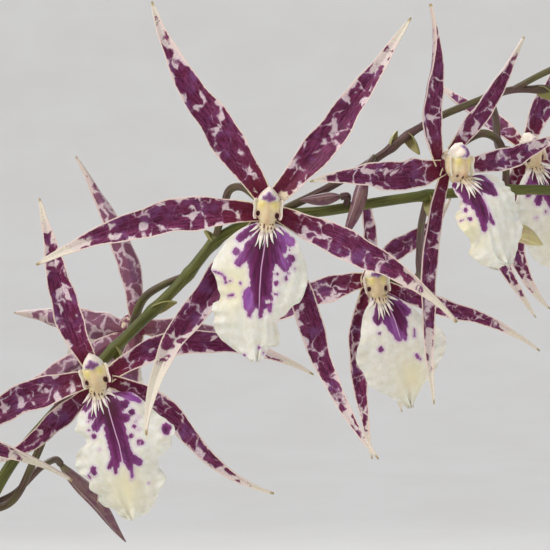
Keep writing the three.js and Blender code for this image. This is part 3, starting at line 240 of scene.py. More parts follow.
# Pale bays in the purple, tepal by tepal: place along from 0 to 1, place across from -1 to 1, and half
# the bay's breadth and length in millimetres.
BAYS = {
    "bloom_front": [
        [
            (0.375, 0.25, 1.3, 0.6), (0.41, -0.5, 0.6, 0.9), (0.5, 0.4, 2.2, 0.5),
            (0.515, -0.4, 0.3, 0.8), (0.264, -0.9, 0.8, 1.1), (0.278, 0.85, 0.9, 0.8),
            (0.125, -0.2, 0.8, 2.1), (0.167, 1, 1.1, 0.6), (0.139, -0.95, 0.7, 1.5),
            (0.25, -0.3, 0.3, 1.1), (0.57, 0.85, 0.9, 1.3), (0.7, 0.1, 1.2, 0.9), (0.67, 0.95, 0.8, 2.6),
            (0.76, -0.6, 1.3, 3.6), (0.7, -0.95, 0.7, 2.6), (0.528, -1, 0.5, 0.7),
            (0.458, -0.95, 0.7, 1.1), (0.82, 0, 1.1, 3.4), (0.07, 0.4, 0.3, 1),
        ],
        [
            (0.403, 0.15, 0.5, 2.4), (0.325, 0.1, 0.3, 1.2), (0.28, 0.8, 0.5, 0.6),
            (0.167, 0.95, 0.8, 1.2), (0.05, -0.35, 2.0, 2.0), (0.11, -1, 0.8, 1.8), (0.46, 0.4, 0.3, 1.3),
            (0.545, 0.6, 1, 0.4), (0.583, -0.7, 0.8, 0.9), (0.6, 0.3, 0.25, 0.5), (0.655, -0.8, 0.5, 1),
            (0.6, 1, 0.6, 2.2), (0.76, 0.3, 1.2, 3.4), (0.84, 0, 1.3, 4), (0.35, -1, 0.5, 1),
        ],
        [
            (0.1, 0.15, 2.4, 0.6), (0.15, -0.35, 0.5, 1.5), (0.236, 0.8, 1.5, 0.8),
            (0.285, 0.1, 0.6, 1.5), (0.295, -0.35, 0.8, 0.5), (0.417, -0.85, 0.7, 1.2),
            (0.34, -0.95, 0.4, 1.4), (0.264, -0.95, 0.5, 0.6), (0.515, 0.1, 1.5, 1.2),
            (0.64, 0.35, 1.1, 1.8), (0.63, -0.5, 0.4, 0.8), (0.6, 1, 0.9, 3.4), (0.444, 0.7, 0.7, 0.9),
            (0.181, 1, 0.5, 0.6), (0.8, 0, 2, 3), (0.515, 0.9, 0.9, 1.6),
        ],
        [
            (0.165, -0.45, 1.1, 0.8), (0.215, 0.4, 1.1, 0.6), (0.225, 0.95, 0.8, 0.7),
            (0.25, -0.2, 0.4, 0.9), (0.35, -0.6, 1, 1), (0.39, -0.9, 0.6, 1.6), (0.46, 0.2, 0.5, 0.6),
            (0.69, 0.8, 0.7, 4), (0.69, -0.8, 0.6, 4), (0.1, 0.9, 0.3, 0.6),
        ],
        [
            (0.44, 0.95, 1.3, 2.7), (0.375, 0.85, 0.6, 0.7), (0.515, 0.95, 0.7, 1.6),
            (0.556, 0.85, 0.9, 1), (0.62, 0.95, 0.8, 3), (0.7, 0.9, 1, 4), (0.77, 0.8, 1.2, 3.4),
            (0.486, -0.15, 0.3, 0.3), (0.583, -0.3, 0.3, 0.4), (0.84, 0.2, 1.4, 2.4),
            (0.15, 0.6, 0.8, 1.4), (0.24, -0.8, 0.6, 1),
        ],
        [
            (0.36, -0.3, 0.5, 1.7), (0.39, -0.9, 1, 2), (0.485, -0.85, 1.2, 1.7), (0.44, -1, 0.8, 1.8),
            (0.6, -0.85, 0.9, 1.5), (0.667, 0.85, 0.6, 1.7), (0.65, -1, 0.7, 2), (0.72, -0.8, 0.7, 3.4),
            (0.764, 0.9, 0.6, 1.8), (0.8, -0.6, 0.8, 2.6), (0.2, 0.5, 0.9, 1.2), (0.28, 1, 0.5, 1.4),
        ],
    ],
    "bloom_lower": [
        [
            (0.333, 0.85, 1.1, 1.3), (0.319, -0.5, 1.2, 0.8), (0.458, -0.35, 0.6, 1.4),
            (0.556, -0.75, 0.6, 1.3), (0.375, 0.3, 0.35, 0.7), (0.63, 0.3, 1.7, 1.6),
            (0.75, -0.7, 0.9, 3), (0.19, 1, 0.6, 0.9), (0.125, -1, 0.4, 1), (0.62, 0.95, 0.5, 3.4),
            (0.7, 0.9, 0.6, 2.4), (0.82, 0, 1.3, 1.6), (0.47, 0.2, 0.25, 0.4),
        ],
        [
            (0.278, -0.1, 1.2, 1.3), (0.208, 0.75, 1.4, 1.3), (0.194, -0.9, 0.7, 1),
            (0.125, 0, 0.9, 0.35), (0.125, 0.6, 0.35, 1.1), (0.361, -0.1, 0.6, 1.3),
            (0.403, 0.3, 1.7, 1.4), (0.39, 0.95, 0.9, 1.8), (0.486, -0.1, 1.9, 1.8), (0.6, 0.3, 1.3, 2.6),
            (0.33, 0.5, 0.3, 0.6),
        ],
        [
            (0.139, 0.95, 0.5, 1.5), (0.264, 0.95, 0.7, 1.8), (0.19, -1, 0.9, 1.7),
            (0.528, 0.5, 1.1, 1.1), (0.25, 0.1, 0.4, 0.5), (0.45, -1, 0.7, 4.6), (0.36, -1, 0.5, 2),
            (0.65, 0.5, 0.8, 1.4), (0.72, -0.3, 0.8, 1.2), (0.8, 0.3, 0.7, 1.6),
        ],
        [
            (0.611, -0.3, 1, 1.6), (0.63, -1, 0.7, 1.4), (0.472, -1, 0.8, 2), (0.597, 0.9, 0.5, 0.8),
            (0.75, -0.6, 0.9, 3), (0.82, 0.4, 0.8, 1.2), (0.1, 0.2, 0.8, 1.3), (0.3, 1, 0.4, 1.4),
        ],
        [(0.417, 0.8, 0.9, 1.4), (0.6, 1, 0.7, 3), (0.25, -0.9, 0.6, 1.2), (0.5, -0.3, 0.6, 0.8)],
    ],
    "bloom_upper": [
        [
            (0.306, -0.1, 0.7, 0.9), (0.208, 0.35, 0.9, 1), (0.458, 0, 0.5, 1.1), (0.556, 0.25, 0.5, 0.9),
            (0.3, 0.85, 0.25, 0.5), (0.15, 0.2, 0.4, 0.8), (0.72, 0.8, 0.6, 2),
        ],
        [
            (0.167, 0.6, 0.9, 1.3), (0.32, 0.75, 0.8, 0.7), (0.486, 0.8, 0.6, 0.9),
            (0.597, 0.5, 0.9, 0.9), (0.72, 0.7, 1.2, 1.7), (0.25, -0.6, 0.4, 0.8),
        ],
        [
            (0.389, -0.1, 0.5, 0.8), (0.458, 0.25, 1, 0.4), (0.208, 1, 0.5, 0.6), (0.611, -0.3, 0.4, 1.1),
            (0.33, -0.8, 0.4, 0.5), (0.55, 0.9, 0.4, 1.6),
        ],
        [(0.514, -0.3, 1.3, 1.6), (0.3, -0.9, 0.5, 1), (0.66, 0.2, 1.4, 2.4), (0.2, 0.6, 0.4, 0.8)],
        [
            (0.208, 0.65, 1, 0.4), (0.3, 0.9, 0.4, 1.7), (0.306, 0.35, 0.9, 0.35),
            (0.472, 0.45, 1.1, 1.4), (0.4, 1, 0.6, 2.4), (0.583, 0.3, 1, 1.6), (0.66, -0.4, 0.8, 2.6),
            (0.74, 0.3, 0.9, 3),
        ],
        [],
    ],
}

# Share of the bays' listed sizes that is drawn, and the distance given where no bay is near
BAY_SIZE = 0.69
NO_BAY = 9.0


def dot(across, down, radius, light):
    """A round mark on a lip, as the row of a mark that starts and ends at one place."""
    return across, down, across, down, radius, radius, light


# Lips. Left and right edge as (how far down, how far out), and the purple marks as
# (across, down, across, down, radius, radius, lightness). A mark with a negative radius is a pale hole,
# `thread` is the pale line down the middle as (down, across), and `cream` is the cream centre's place.
LIPS = {
    "front": dict(
        length=40.2,
        left=[
            (0, 2.8), (1.3, 5.9), (2.9, 8.2), (4.5, 9.8), (8.5, 12.7), (12.4, 14.5), (14.7, 14.9),
            (16.7, 13.6), (20.4, 12.5), (22.1, 11.8), (23.3, 12), (24.3, 13.9), (26, 14.1), (28, 13.1),
            (30.6, 13.2), (32.3, 12.5), (34.2, 11.2), (37.2, 7.5), (39, 4.5), (39.8, 3), (40.2, 1.5),
        ],
        right=[
            (0, 3.6), (0.8, 5.7), (2.1, 7.5), (4.3, 9.1), (7.1, 10.7), (9.9, 12.1), (11.9, 12.8),
            (15.7, 13.4), (18.3, 13), (20.4, 12.5), (22.5, 11.5), (23.2, 10.1), (25.9, 8), (26.9, 7.2),
            (27.5, 6.1), (28.4, 5.5), (31, 6), (33, 6.5), (34.8, 6.3), (35.3, 5.6), (35.7, 3.3), (37, 3),
            (38.8, 2.5), (39.8, 1.7), (40.2, 0.6),
        ],
        marks=[
            (-3.3, 1.7, -7.1, 4.9, 1.3, 1.2, 0.3), dot(-4.1, 7, 1.5, 0.1),
            (-3.5, 7.5, -6.9, 11.9, 1.5, 1.3, 0.4), dot(-7.9, 8.9, 1.1, 0.3),
            (0, 2.2, -0.3, 7.5, 2.6, 3, -1), (-0.5, 7, -0.3, 11, 3.8, 3.9, 0),
            (-0.3, 11, -0.5, 14, 3.9, 3.2, 0), (-0.5, 14, 0.3, 22, 3.3, 3, 0.1),
            (-3.4, 20.8, -3.2, 24.2, 1.8, 1.6, 1.1), (-3, 24.4, -2.8, 27.3, 1.1, 0.45, 0.8),
            (0.2, 22.4, 0.4, 27.3, 1.5, 0.45, 0.4), (2.7, 22, 2.9, 25.4, 0.95, 0.5, 0.4),
            (2.1, 22.8, 2.2, 22.6, -0.7, -0.7, 0), (3.4, 2.4, 7.4, 5, 1.45, 1.4, 0.9),
            (2.2, 4.8, 5.5, 7.2, 1.3, 1.3, 0.5), (2.4, 7.7, 6.5, 12.4, 1.6, 1.3, 0.6),
            dot(7.9, 9.8, 1.25, 0.3), dot(7.8, 11.4, 0.72, 0.3), dot(4.3, 14.7, 0.52, 0.3),
            (4.4, 17.1, 4.4, 17.5, 0.5, 0.5, 0.3), dot(4.6, 20.2, 0.4, 0.9),
            (6.7, 15.3, 7, 16.1, 0.4, 0.4, 0.4), dot(7.6, 14.2, 0.22, 0.5), dot(7.4, 7.4, 0.26, 0.5),
            dot(9.3, 12.8, 0.2, 0.6), (-14.6, 15, -11.6, 15.7, 0.22, 0.3, 0.9),
            (-10.8, 16.8, -10.3, 17.9, 0.28, 0.3, 0.9), (-10.3, 17.9, -8.9, 17.5, 0.25, 0.25, 0.9),
            dot(-6.1, 17.9, 0.25, 0.9), (-9, 21.8, -8.2, 21.6, 0.45, 0.45, 0.5),
            dot(0.7, 36.3, 0.32, 0.9), dot(2, 37.7, 0.24, 0.9), dot(-3.5, 38.8, 0.36, 0.7),
        ],
        thread=[(0, 0.3), (7, 0.1), (10.8, -0.2), (13.7, -0.4), (18.7, -0.4), (24, -0.2), (26, -0.1)],
        cream=(-8, 19),
    ),
    "lower": dict(
        length=37.4,
        left=[
            (0, 3.6), (1.2, 5.2), (2.6, 6.6), (4.3, 8.2), (6.2, 8.9), (8.4, 10), (9.3, 8.7), (11.4, 7.4),
            (12.6, 7.3), (13.4, 9.1), (14.3, 10.2), (16.4, 11.6), (18.4, 12.2), (20.3, 11.9),
            (22.2, 10.2), (23.8, 9.4), (25.5, 9.8), (27.3, 8.7), (28.7, 7.7), (30.1, 8.3), (32.2, 7.1),
            (33.7, 4.5), (35.3, 3.3), (36.5, 1.2), (37.4, 0.2),
        ],
        right=[
            (0, 6), (0.6, 8.6), (1.6, 9.8), (3.5, 11.5), (5.2, 12.6), (9.1, 15.3), (10.3, 16.5),
            (12.1, 17.9), (13.6, 18.9), (15.3, 18.7), (16.5, 17.5), (18.5, 16.9), (20, 15.5),
            (21.1, 13.7), (21.6, 12.2), (24.6, 11.9), (25.6, 12.7), (27.6, 13.3), (29.2, 12.5),
            (30.9, 10.9), (33.7, 8.7), (35.5, 7.1), (36.8, 5.6), (37.2, 4.4), (37.4, 3),
        ],
        marks=[
            (-1.2, 0.4, -5.3, 2.3, 1.2, 1.1, 0.4), (-0.2, 2.3, -3.9, 5, 1.3, 1.15, 0.2),
            (0.5, 4.5, -3.4, 8.4, 1.6, 1.25, 0.2), (1, 0.8, 1.2, 4.4, 2.6, 2.4, -0.6),
            (0.8, 5, 0.6, 19, 1.9, 1.5, 0), (1.8, 6, 2.2, 17, 2.4, 1.5, 0),
            (0.2, 18.4, -2.1, 20.7, 1.2, 0.55, 0.3), (0.4, 19, -0.7, 22.5, 1.2, 0.55, 0.3),
            (4.2, -0.6, 7.5, 1.3, 1.3, 1.2, 0.5), (7.5, 1.3, 10.8, 3.9, 1.1, 0.7, 1),
            (3.6, 4.6, 6.7, 3.7, 1.5, 1.1, 0.3), (3.5, 7, 5.7, 7.8, 1.6, 1.3, 0.2),
            (3.2, 3, 3.9, 20, 1.8, 1.2, 0), (3.9, 20, 3.9, 22.1, 1.2, 0.9, 0.3),
            (4.6, 18.6, 6.8, 21.3, 1.2, 0.8, 0.5), (4.1, 22.5, 3.4, 25.6, 0.5, 0.35, 0.5),
            dot(7.7, 6.5, 0.88, 0.1), dot(7.6, 10.7, 0.58, 0.2), dot(6.1, 13, 0.82, 0.1),
            (8, 15.4, 8.6, 15.8, 0.75, 0.75, 0.1), dot(8.3, 15.6, -0.3, 0),
            (16.5, 13.4, 16.3, 14, 1.4, 1.2, 0), dot(-5.1, 6.5, 0.35, 0.3), dot(-4.5, 11, 0.73, 0.2),
            (-6.8, 20.2, -6.9, 21.4, 0.85, 0.7, 0.1), dot(8.3, 9.3, 0.23, 0.5), dot(9.5, 8.4, 0.2, 0.5),
            dot(8.7, 11.8, 0.22, 0.5), dot(-3.7, 14.9, 0.2, 0.8), dot(7.9, 28.1, 0.24, 0.8),
            dot(-5.6, 8.8, 0.3, 0.9), (-8.9, 21.8, -8.4, 22.6, 0.35, 0.25, 1),
        ],
        thread=[(0, 1.2), (4.4, 1.4), (7.2, 1.6), (11.2, 1.9), (15.1, 2.2), (19.3, 2.1), (22, 2.1)],
        cream=(1.3, 28),
    ),
    "upper": dict(
        length=28.6,
        left=[
            (0, 3.4), (0.6, 4.6), (2.9, 5.4), (5.6, 5.6), (8.4, 5.8), (9.4, 7.8), (13, 9.2), (15.6, 9.3),
            (17.7, 7.8), (19.3, 6.9), (21.3, 8), (23.3, 7.6), (24.8, 6.8), (26.8, 5), (28, 2.6),
            (28.6, 0.9),
        ],
        right=[
            (0, 5.2), (1.1, 9), (2.5, 11.2), (4.1, 12.4), (5.6, 13.2), (7, 13.2), (10.4, 13),
            (13.7, 12.9), (15.5, 13.1), (16.5, 12.3), (18.7, 11.6), (22.6, 10.2), (23.8, 9.4),
            (25.1, 8.7), (25.9, 7.6), (27.1, 6.6), (28.1, 4.6), (28.6, 2.4),
        ],
        marks=[
            (2, -0.4, 4.6, 1.8, 1.9, 2.1, 0.3), (3.6, 2.4, 4.9, 5, 2.4, 2.6, 0.5),
            (4.9, 5, 5.3, 7.6, 2.2, 1.6, 0.4), (3.4, 6.2, 3.7, 7.4, 1.1, 0.8, 0.4),
            (1.2, 1.5, 2.6, 6, 1.6, 1.2, 0.3), (0, 0.6, -0.8, 5, 2.2, 2, -1),
            (-4.4, 0, -4, 2.6, 0.9, 0.9, 0.2), (-3.6, 2, -3.6, 6.6, 1.2, 1.3, 0.2),
            (-0.9, 4, -1.8, 8.8, 2.3, 2.4, 0), (-1.8, 8.8, -1.9, 13, 2.4, 2, 0.1),
            (-1.9, 13, -3.1, 17, 1.9, 0.9, 0.3), (-1, 11, 0, 16.6, 1.5, 0.5, 0.1),
            (-5.6, 9.6, -5.7, 10.2, 0.46, 0.4, 0.1), (-5.9, 12.9, -6.2, 13.4, 0.4, 0.34, 0.1),
            (-8.2, 12.2, -7.8, 12.5, 0.16, 0.14, 0.5),
        ],
        thread=[(0, 0.2), (2, 0.6), (5.6, 0.9), (8.5, 0.6), (11.8, 0.3), (14.1, -0.3), (16, -1)],
        cream=(-8, 15),
    ),
    "behind": dict(
        length=38,
        left=[
            (0, 2.8), (3.8, 6.6), (7.6, 8.6), (11.4, 10.4), (15.2, 12.6), (19, 13.4), (22.8, 12.2),
            (26.6, 11.6), (30.4, 8.4), (34.2, 4.4), (37, 2), (38, 0.8),
        ],
        right=[
            (0, 3), (3.8, 7), (7.6, 10), (11.4, 13), (15.2, 15.8), (19, 17.2), (22.8, 16.6), (26.6, 13.8),
            (30.4, 9.4), (34.2, 4.8), (37, 2.2), (38, 1),
        ],
        marks=[
            (0, 0.6, 1.4, 6, 3, 3.4, 0.3), (1.4, 6, 2.2, 10, 3.9, 3.6, 0.5),
            (2.2, 10, 1.4, 14.5, 3, 1.4, 0.6), (-0.8, 3, -3.4, 7.4, 1.8, 1.5, 0.7),
            (3, 2, 6.4, 7.2, 1.9, 1.6, 0.6), (4, 10, 3.4, 15.6, 1.2, 0.6, 0.6),
            (-5.2, 16.4, -5.2, 16.8, 0.75, 0.75, 0.2), dot(-4.4, 11.4, 0.4, 0.4),
            (6.6, 15.6, 7.4, 13.6, 0.4, 0.3, 0.8), (5.6, 21.8, 6.6, 23.4, 0.5, 0.4, 0.7),
            dot(7.6, 7, 0.5, 0.4),
        ],
        thread=[(0, 0.8), (10, 1.8), (16, 1.8)],
        cream=(3, 28),
    ),
    "side": dict(
        length=34,
        left=[
            (0, 2.6), (3.4, 7.2), (6.8, 10.4), (10.2, 12.6), (13.6, 13.4), (17, 13.6), (20.4, 13),
            (23.8, 12), (27.2, 10), (30.6, 6.8), (33, 3.6), (34, 1.4),
        ],
        right=[
            (0, 2.6), (3.4, 7.4), (6.8, 10.8), (10.2, 12.4), (13.6, 13), (17, 12.6), (20.4, 12.8),
            (23.8, 12.2), (27.2, 9.8), (30.6, 6.4), (33, 3.4), (34, 1.4),
        ],
        marks=[
            (0, 1.4, 0, 6, 2.4, 3, 0), (0, 6, 0.2, 12, 3.2, 2.9, 0), (0.2, 12, 0, 18, 2.8, 1.3, 0.1),
            (-2, 3, -6, 6, 1.5, 1.2, 0.3), (2, 3, 6.2, 5.4, 1.5, 1.2, 0.3),
            (-2, 7.4, -5.4, 11.4, 1.4, 1.1, 0.2), (2, 7.4, 5.8, 11, 1.4, 1.2, 0.2),
            dot(-7.4, 8.4, 0.9, 0.4), dot(7.6, 8, 0.8, 0.4), dot(-4, 15, 0.6, 0.4),
            dot(4.2, 15.4, 0.6, 0.3), (0, 18, 0.4, 21.4, 0.9, 0.4, 0.4), dot(7, 13, 0.4, 0.5),
            dot(-7.6, 16, 0.4, 0.6),
        ],
        thread=[(0, 0), (10, 0.1), (18, 0)],
        cream=(0, 25),
    ),
}

MAIN_STEM = [
    (27, -9.4, 100), (32.6, -9.2, 110), (35, -9, 128), (38, -9, 152), (47, -9, 208), (64, -7, 290),
    (86, -3, 366), (111.3, 0, 427.5), (119.8, 0, 442.8), (125.4, 0, 449.8), (146.7, 0, 473.2),
    (159.2, 0, 485.7), (171.7, 0, 498.2), (183.9, 0, 512), (198.5, 0, 517.6), (215.5, 0, 519.6),
    (232.6, 0, 522.4), (246.6, 0, 524.3), (270.6, 1, 526), (292, 3, 525), (312, 6, 517), (328, 8, 503),
]
BRANCH = [
    (197.6, 0, 517.4), (204.6, 2, 521), (215.2, 3, 526.2), (227.1, 4, 533.2), (234.4, 4, 538.1),
    (242.6, 4, 544.2), (251.2, 4, 549), (256.6, 4, 551.3), (265.9, 4, 554.8), (272.8, 4, 556.9),
    (281.3, 5, 557.2), (298, 6, 558), (314, 6, 557), (330, 6, 551),
]
PEDICELS = {
    "bloom_lower": [
        (111.3, 0, 427.5), (119.9, -2, 431), (127.4, -4.6, 444.6), (134.2, -6, 460), (142, -12, 467),
    ],
    "bloom_turned_away": [(173.8, 0, 500.2), (166, 3, 497.2), (159.6, 4.4, 492.8)],
    "bloom_front": [(181.6, 0, 510), (184.4, -4, 520), (186.4, -9, 525.6), (190.2, -14, 526.4)],
    "bloom_behind": [
        (246.6, 0, 524.3), (245.5, 12, 515.5), (246, 28, 505.4), (246.4, 43, 499.2), (241, 51.5, 497.6),
    ],
    "bloom_upper": [
        (270.6, 1, 526), (270.4, 0, 535), (268, -1.4, 541), (263.6, -3.6, 543), (258.2, -6, 541),
    ],
    "bloom_end": [(265.9, 4, 554.8), (268.6, 12, 549), (270.4, 24, 543), (273, 32.4, 540.4)],
    "bloom_side": [(98.4, -1.5, 397), (97, -9, 412), (94.4, -18, 430), (92, -26, 444.4)],
}
# Buds: points of the stalk, the way the bud points, length, thickness and kind
BUDS = {
    "bud_hanging_left": (
        [(113.6, 0, 430), (120, 5, 433), (127, 14, 440), (131, 23, 441.5)],
        (0.52, 0.46, -0.72), 37, 5.2, "bud",
    ),
    "bud_hanging_middle": (
        [(228.6, 4, 534), (230, 0.6, 536), (228.6, -4, 533.6)], (-0.34, -0.12, -1), 23, 4.6, "bud",
    ),
    "bud_on_node": ([(221.4, 0, 520.4), (222, -2.6, 524)], (-1, -0.3, -0.1), 13, 4, "bud"),
    "bud_pale": (
        [(272.4, 1, 526), (270, 6, 520), (270.4, 9.6, 515.6)], (0.82, 0.1, -0.4), 12, 6, "pale_bud",
    ),
    "bud_upper_side": (
        [(272.8, 4, 556.9), (284, 1, 562.6), (296, -2, 567)], (0.9, -0.2, 0.36), 26, 6, "bud",
    ),
    "bud_branch_middle": (
        [(306, 6, 557.6), (312, 12, 554), (315, 18, 547)], (0.5, 0.5, -0.7), 24, 6, "bud",
    ),
    "bud_branch_tip": (BRANCH, (0.94, 0, -0.35), 16, 5, "pale_bud"),
    "bud_end_upper": ([(292, 3, 525), (300, -4, 530), (308, -11, 531)], (0.92, -0.5, -0.1), 25, 6, "bud"),
    "bud_end_lower": ([(303, 5, 521.4), (303, 1, 512), (305, -3, 504)], (0.24, -0.2, -1), 21, 5.6, "bud"),
    "bud_end_tip": (MAIN_STEM, (0.75, 0.09, -0.66), 15, 4.8, "pale_bud"),
}
# Bracts: place, the way each points, length and width
BRACTS = [
    ((111.3, 0, 427.5), (0.5, 0.3, 1), 8, 5), ((98.4, -1.5, 397), (-0.1, 0.2, 1), 9, 5),
    ((162.6, 0, 489.2), (1, -0.2, 0.5), 8, 4.6), ((151, 0, 477.6), (0.5, -0.6, -0.9), 8, 4.4),
    ((173.8, 0, 500.2), (0.7, 0.2, 0.7), 5, 3.6), ((181.6, 0, 510), (-0.6, -0.3, 1), 5, 3.6),
    ((246.6, 0, 524.3), (0.1, -0.4, -1), 8, 4.4), ((236, 4, 539.4), (0.3, 0.4, 1), 6, 4),
    ((240.6, 4, 542.8), (0.7, -0.3, -1), 7, 4.4), ((281.3, 5, 557.2), (1, 0, -0.5), 7, 4.4),
]

# Pseudobulbs: foot, height, breadth, thickness, turn, and how old and wrinkled each is
BULBS = [
    dict(foot=(-31, -12), height=66, breadth=32, thick=18, turn=16, age=1.0),
    dict(foot=(-13, 15), height=84, breadth=40, thick=22, turn=-14, age=0.6),
    dict(foot=(8, -12), height=94, breadth=43, thick=23, turn=8, age=0.25),
    dict(foot=(27, 17), height=34, breadth=20, thick=13, turn=-16, age=0.0),
]
RHIZOME = [(-38, -14), (-31, -12), (-22, 2), (-13, 15), (-2, 2), (8, -12), (17, 3), (27, 17), (33, 21)]
RHIZOME_RADIUS = 5.5
RHIZOME_LEVEL = 99
RHIZOME_TUBE = (32, 130)
BULB_ROWS = 48
BULB_SIDES = 96
BULB_OUTLINE = [(0, 0.46), (0.1, 0.82), (0.28, 1), (0.5, 0.93), (0.7, 0.74), (0.87, 0.48), (1, 0.16)]

# Leaves: foot, turn, rise, how far each half of the leaf arches over, swerve, length and width
LEAVES = {
    "leaf_tall_right": ((12.4, -12.2, 190.6), -34, 74, (22, 66), 14, 300, 36),
    "leaf_tall_left": ((3.6, -12.8, 190.6), 192, 74, (24, 68), -12, 310, 38),
    "leaf_base_left": ((-12.6, -20.6, 103), 232, 72, (30, 70), -14, 260, 33),
    "leaf_base_right": ((38.2, -12.4, 103), -12, 74, (32, 70), -16, 240, 31),
    "leaf_middle_right": ((-9.2, 13.8, 181), 28, 76, (24, 66), 26, 285, 35),
    "leaf_middle_left": ((-17, 16.2, 181), 158, 72, (24, 62), 12, 300, 36),
    "leaf_middle_base": ((-33.6, 20.4, 103), 150, 76, (34, 60), 10, 230, 30),
    "leaf_shoot_outer_right": ((37.4, 14.4, 103), 4, 76, (36, 60), 16, 205, 27),
    "leaf_shoot_outer_left": ((16.4, 21.6, 103), 112, 78, (24, 56), -12, 200, 27),
    "leaf_shoot_inner_right": ((31, 16, 131.4), 14, 76, (22, 50), 14, 185, 26),
    "leaf_shoot_inner_left": ((23.6, 19.2, 131.4), 112, 80, (16, 52), 14, 205, 28),
}
# Husks: which bulb, lowest and highest edge, and where the wrap starts and ends, in degrees
HUSKS = {"husk_old_bulb": (0, 9, 46, 100, 320), "husk_middle_bulb": (1, 9, 40, 30, 160)}
HUSK_TEARS = 8
TEAR_DEPTH = 0.34
JAG_DEPTH = 0.1
DEEPEST_TEAR = 0.44
HUSK_COLUMNS = 97
HUSK_ROWS = 26
ROOTS = {
    "root_front": [(-34, -14, 99), (-33, -25, 102.4), (-29, -33, 103), (-23, -37, 100), (-20, -38, 89)],
    "root_right": [(6, -14, 99), (6, -28, 102.4), (13, -36, 103), (23, -37, 100), (27, -35, 89)],
    "root_rear": [(-10, 17, 99), (-4, 30, 102.4), (4, 37, 103), (14, 40, 100), (18, 40, 89)],
}
ROOT_RADIUS = 2.1
ROOT_TUBE = (24, 110)


def seeded(seed):
    """The same repeatable random draw as the solids use."""
    state = seed
    while True:
        state = (state * 1664525 + 1013904223) % 4294967296
        yield state / 4294967296


def unit(vectors):
    vectors = np.asarray(vectors, float)
    return vectors / np.linalg.norm(vectors, axis=-1, keepdims=True)


def turn_x(degrees):
    c, s = math.cos(math.radians(degrees)), math.sin(math.radians(degrees))
    return np.array([(1, 0, 0), (0, c, -s), (0, s, c)])


def turn_y(degrees):
    c, s = math.cos(math.radians(degrees)), math.sin(math.radians(degrees))
    return np.array([(c, 0, s), (0, 1, 0), (-s, 0, c)])


def turn_z(degrees):
    c, s = math.cos(math.radians(degrees)), math.sin(math.radians(degrees))
    return np.array([(c, -s, 0), (s, c, 0), (0, 0, 1)])


def flow(t):
    """The four weights of a smooth step: start, end, slope at the start and slope at the end."""
    return 2 * t**3 - 3 * t**2 + 1, 3 * t**2 - 2 * t**3, t**3 - 2 * t**2 + t, t**3 - t**2


def rounded(line, u):
    """A smooth value through the points of a line, with no overshoot."""
    x, y = np.array(line, float).T
    step = np.diff(x)
    slope = np.diff(y) / step
    same_way = slope[:-1] * slope[1:] > 0
    total = np.where(same_way, slope[:-1] + slope[1:], 1)
    tangent = np.zeros(len(x))
    tangent[0], tangent[-1] = slope[0], slope[-1]
    tangent[1:-1] = np.where(same_way, 2 * slope[:-1] * slope[1:] / total, 0)
    u = np.clip(u, x[0], x[-1])
    i = np.clip(np.searchsorted(x, u) - 1, 0, len(step) - 1)
    from_start, from_end, out_slope, in_slope = flow((u - x[i]) / step[i])
    rise = y[i] * from_start + y[i + 1] * from_end
    return rise + step[i] * (tangent[i] * out_slope + tangent[i + 1] * in_slope)


def full_turn(count):
    """Evenly spaced angles round a full turn."""
    return 2 * math.pi * np.arange(count) / count


def triple(a, b, c):
    """Three values at each point of a grid, side by side on its last axis."""
    return np.stack(np.broadcast_arrays(a, b, c), -1)


def both_sides(a, b):
    """Two values at each point of a sheet, then 0 on its front and 1 on its back."""
    return tuple(triple(a, b, rear) for rear in (0, 1))


def through(settings, u):
    """A value that runs through three settings at root, middle and tip."""
    return np.interp(u, (0, 0.5, 1), settings)


def bent(halves, u):
    """A turn of which one share comes in the first half of a way and the other in the second."""
    return halves[0] * min(2 * u, 1) + halves[1] * max(2 * u - 1, 0)


def station(stations, column, at):
    """A smooth value through one column of a table whose first column says where each row lies."""
    return rounded([(row[0], row[column]) for row in stations], at)


def waves(points, size, seed, count=7):
    """A soft uneven value from -1 to 1 over space, with features of about one size."""
    random = np.random.default_rng(seed)
    total = np.zeros(points.shape[:-1])
    for _ in range(count):
        way = unit(random.normal(size=3)) * 2 * math.pi / size * random.uniform(0.6, 1.7)
        total = total + np.sin(points @ way + random.uniform(0, 6.3))
    return total / count**0.5


def trace(start, length, steps, aim):
    """Points and directions of a course that is aimed afresh at every step."""
    places, ways = [np.array(start, float)], [aim(0.0)]
    for i in range(steps):
        places.append(places[-1] + aim((i + 0.5) / steps) * length / steps)
        ways.append(aim((i + 1) / steps))
    return np.array(places), np.array(ways)


def curve_points(points, count):
    """Evenly spaced points on the smooth curve through a stem's points, and its directions."""
    p = np.array(points, float)
    p = np.vstack([2 * p[0] - p[1], p, 2 * p[-1] - p[-2]])
    fine = []
    from_start, from_end, out_slope, in_slope = flow(np.linspace(0, 1, CURVE_STEPS + 1)[:-1, None])
    for i in range(1, len(p) - 2):
        gaps = [max(np.linalg.norm(p[i + k] - p[i + k - 1]) ** 0.5, 1e-4) for k in range(3)]
        before, step, after = gaps
        first = (p[i] - p[i - 1]) / before - (p[i + 1] - p[i - 1]) / (before + step)
        first = (first + (p[i + 1] - p[i]) / step) * step
        last = (p[i + 1] - p[i]) / step - (p[i + 2] - p[i]) / (step + after)
        last = (last + (p[i + 2] - p[i + 1]) / after) * step
        start = p[i] * from_start + first * out_slope
        fine.append(start + p[i + 1] * from_end + last * in_slope)
    fine = np.vstack([*fine, p[-2:-1]])
    reach = np.concatenate([[0], np.cumsum(np.linalg.norm(np.diff(fine, axis=0), axis=1))])
    even = np.linspace(0, reach[-1], count)
    places = np.stack([np.interp(even, reach, fine[:, k]) for k in range(3)], -1)
    return places, unit(np.gradient(places, axis=0)), reach[-1]


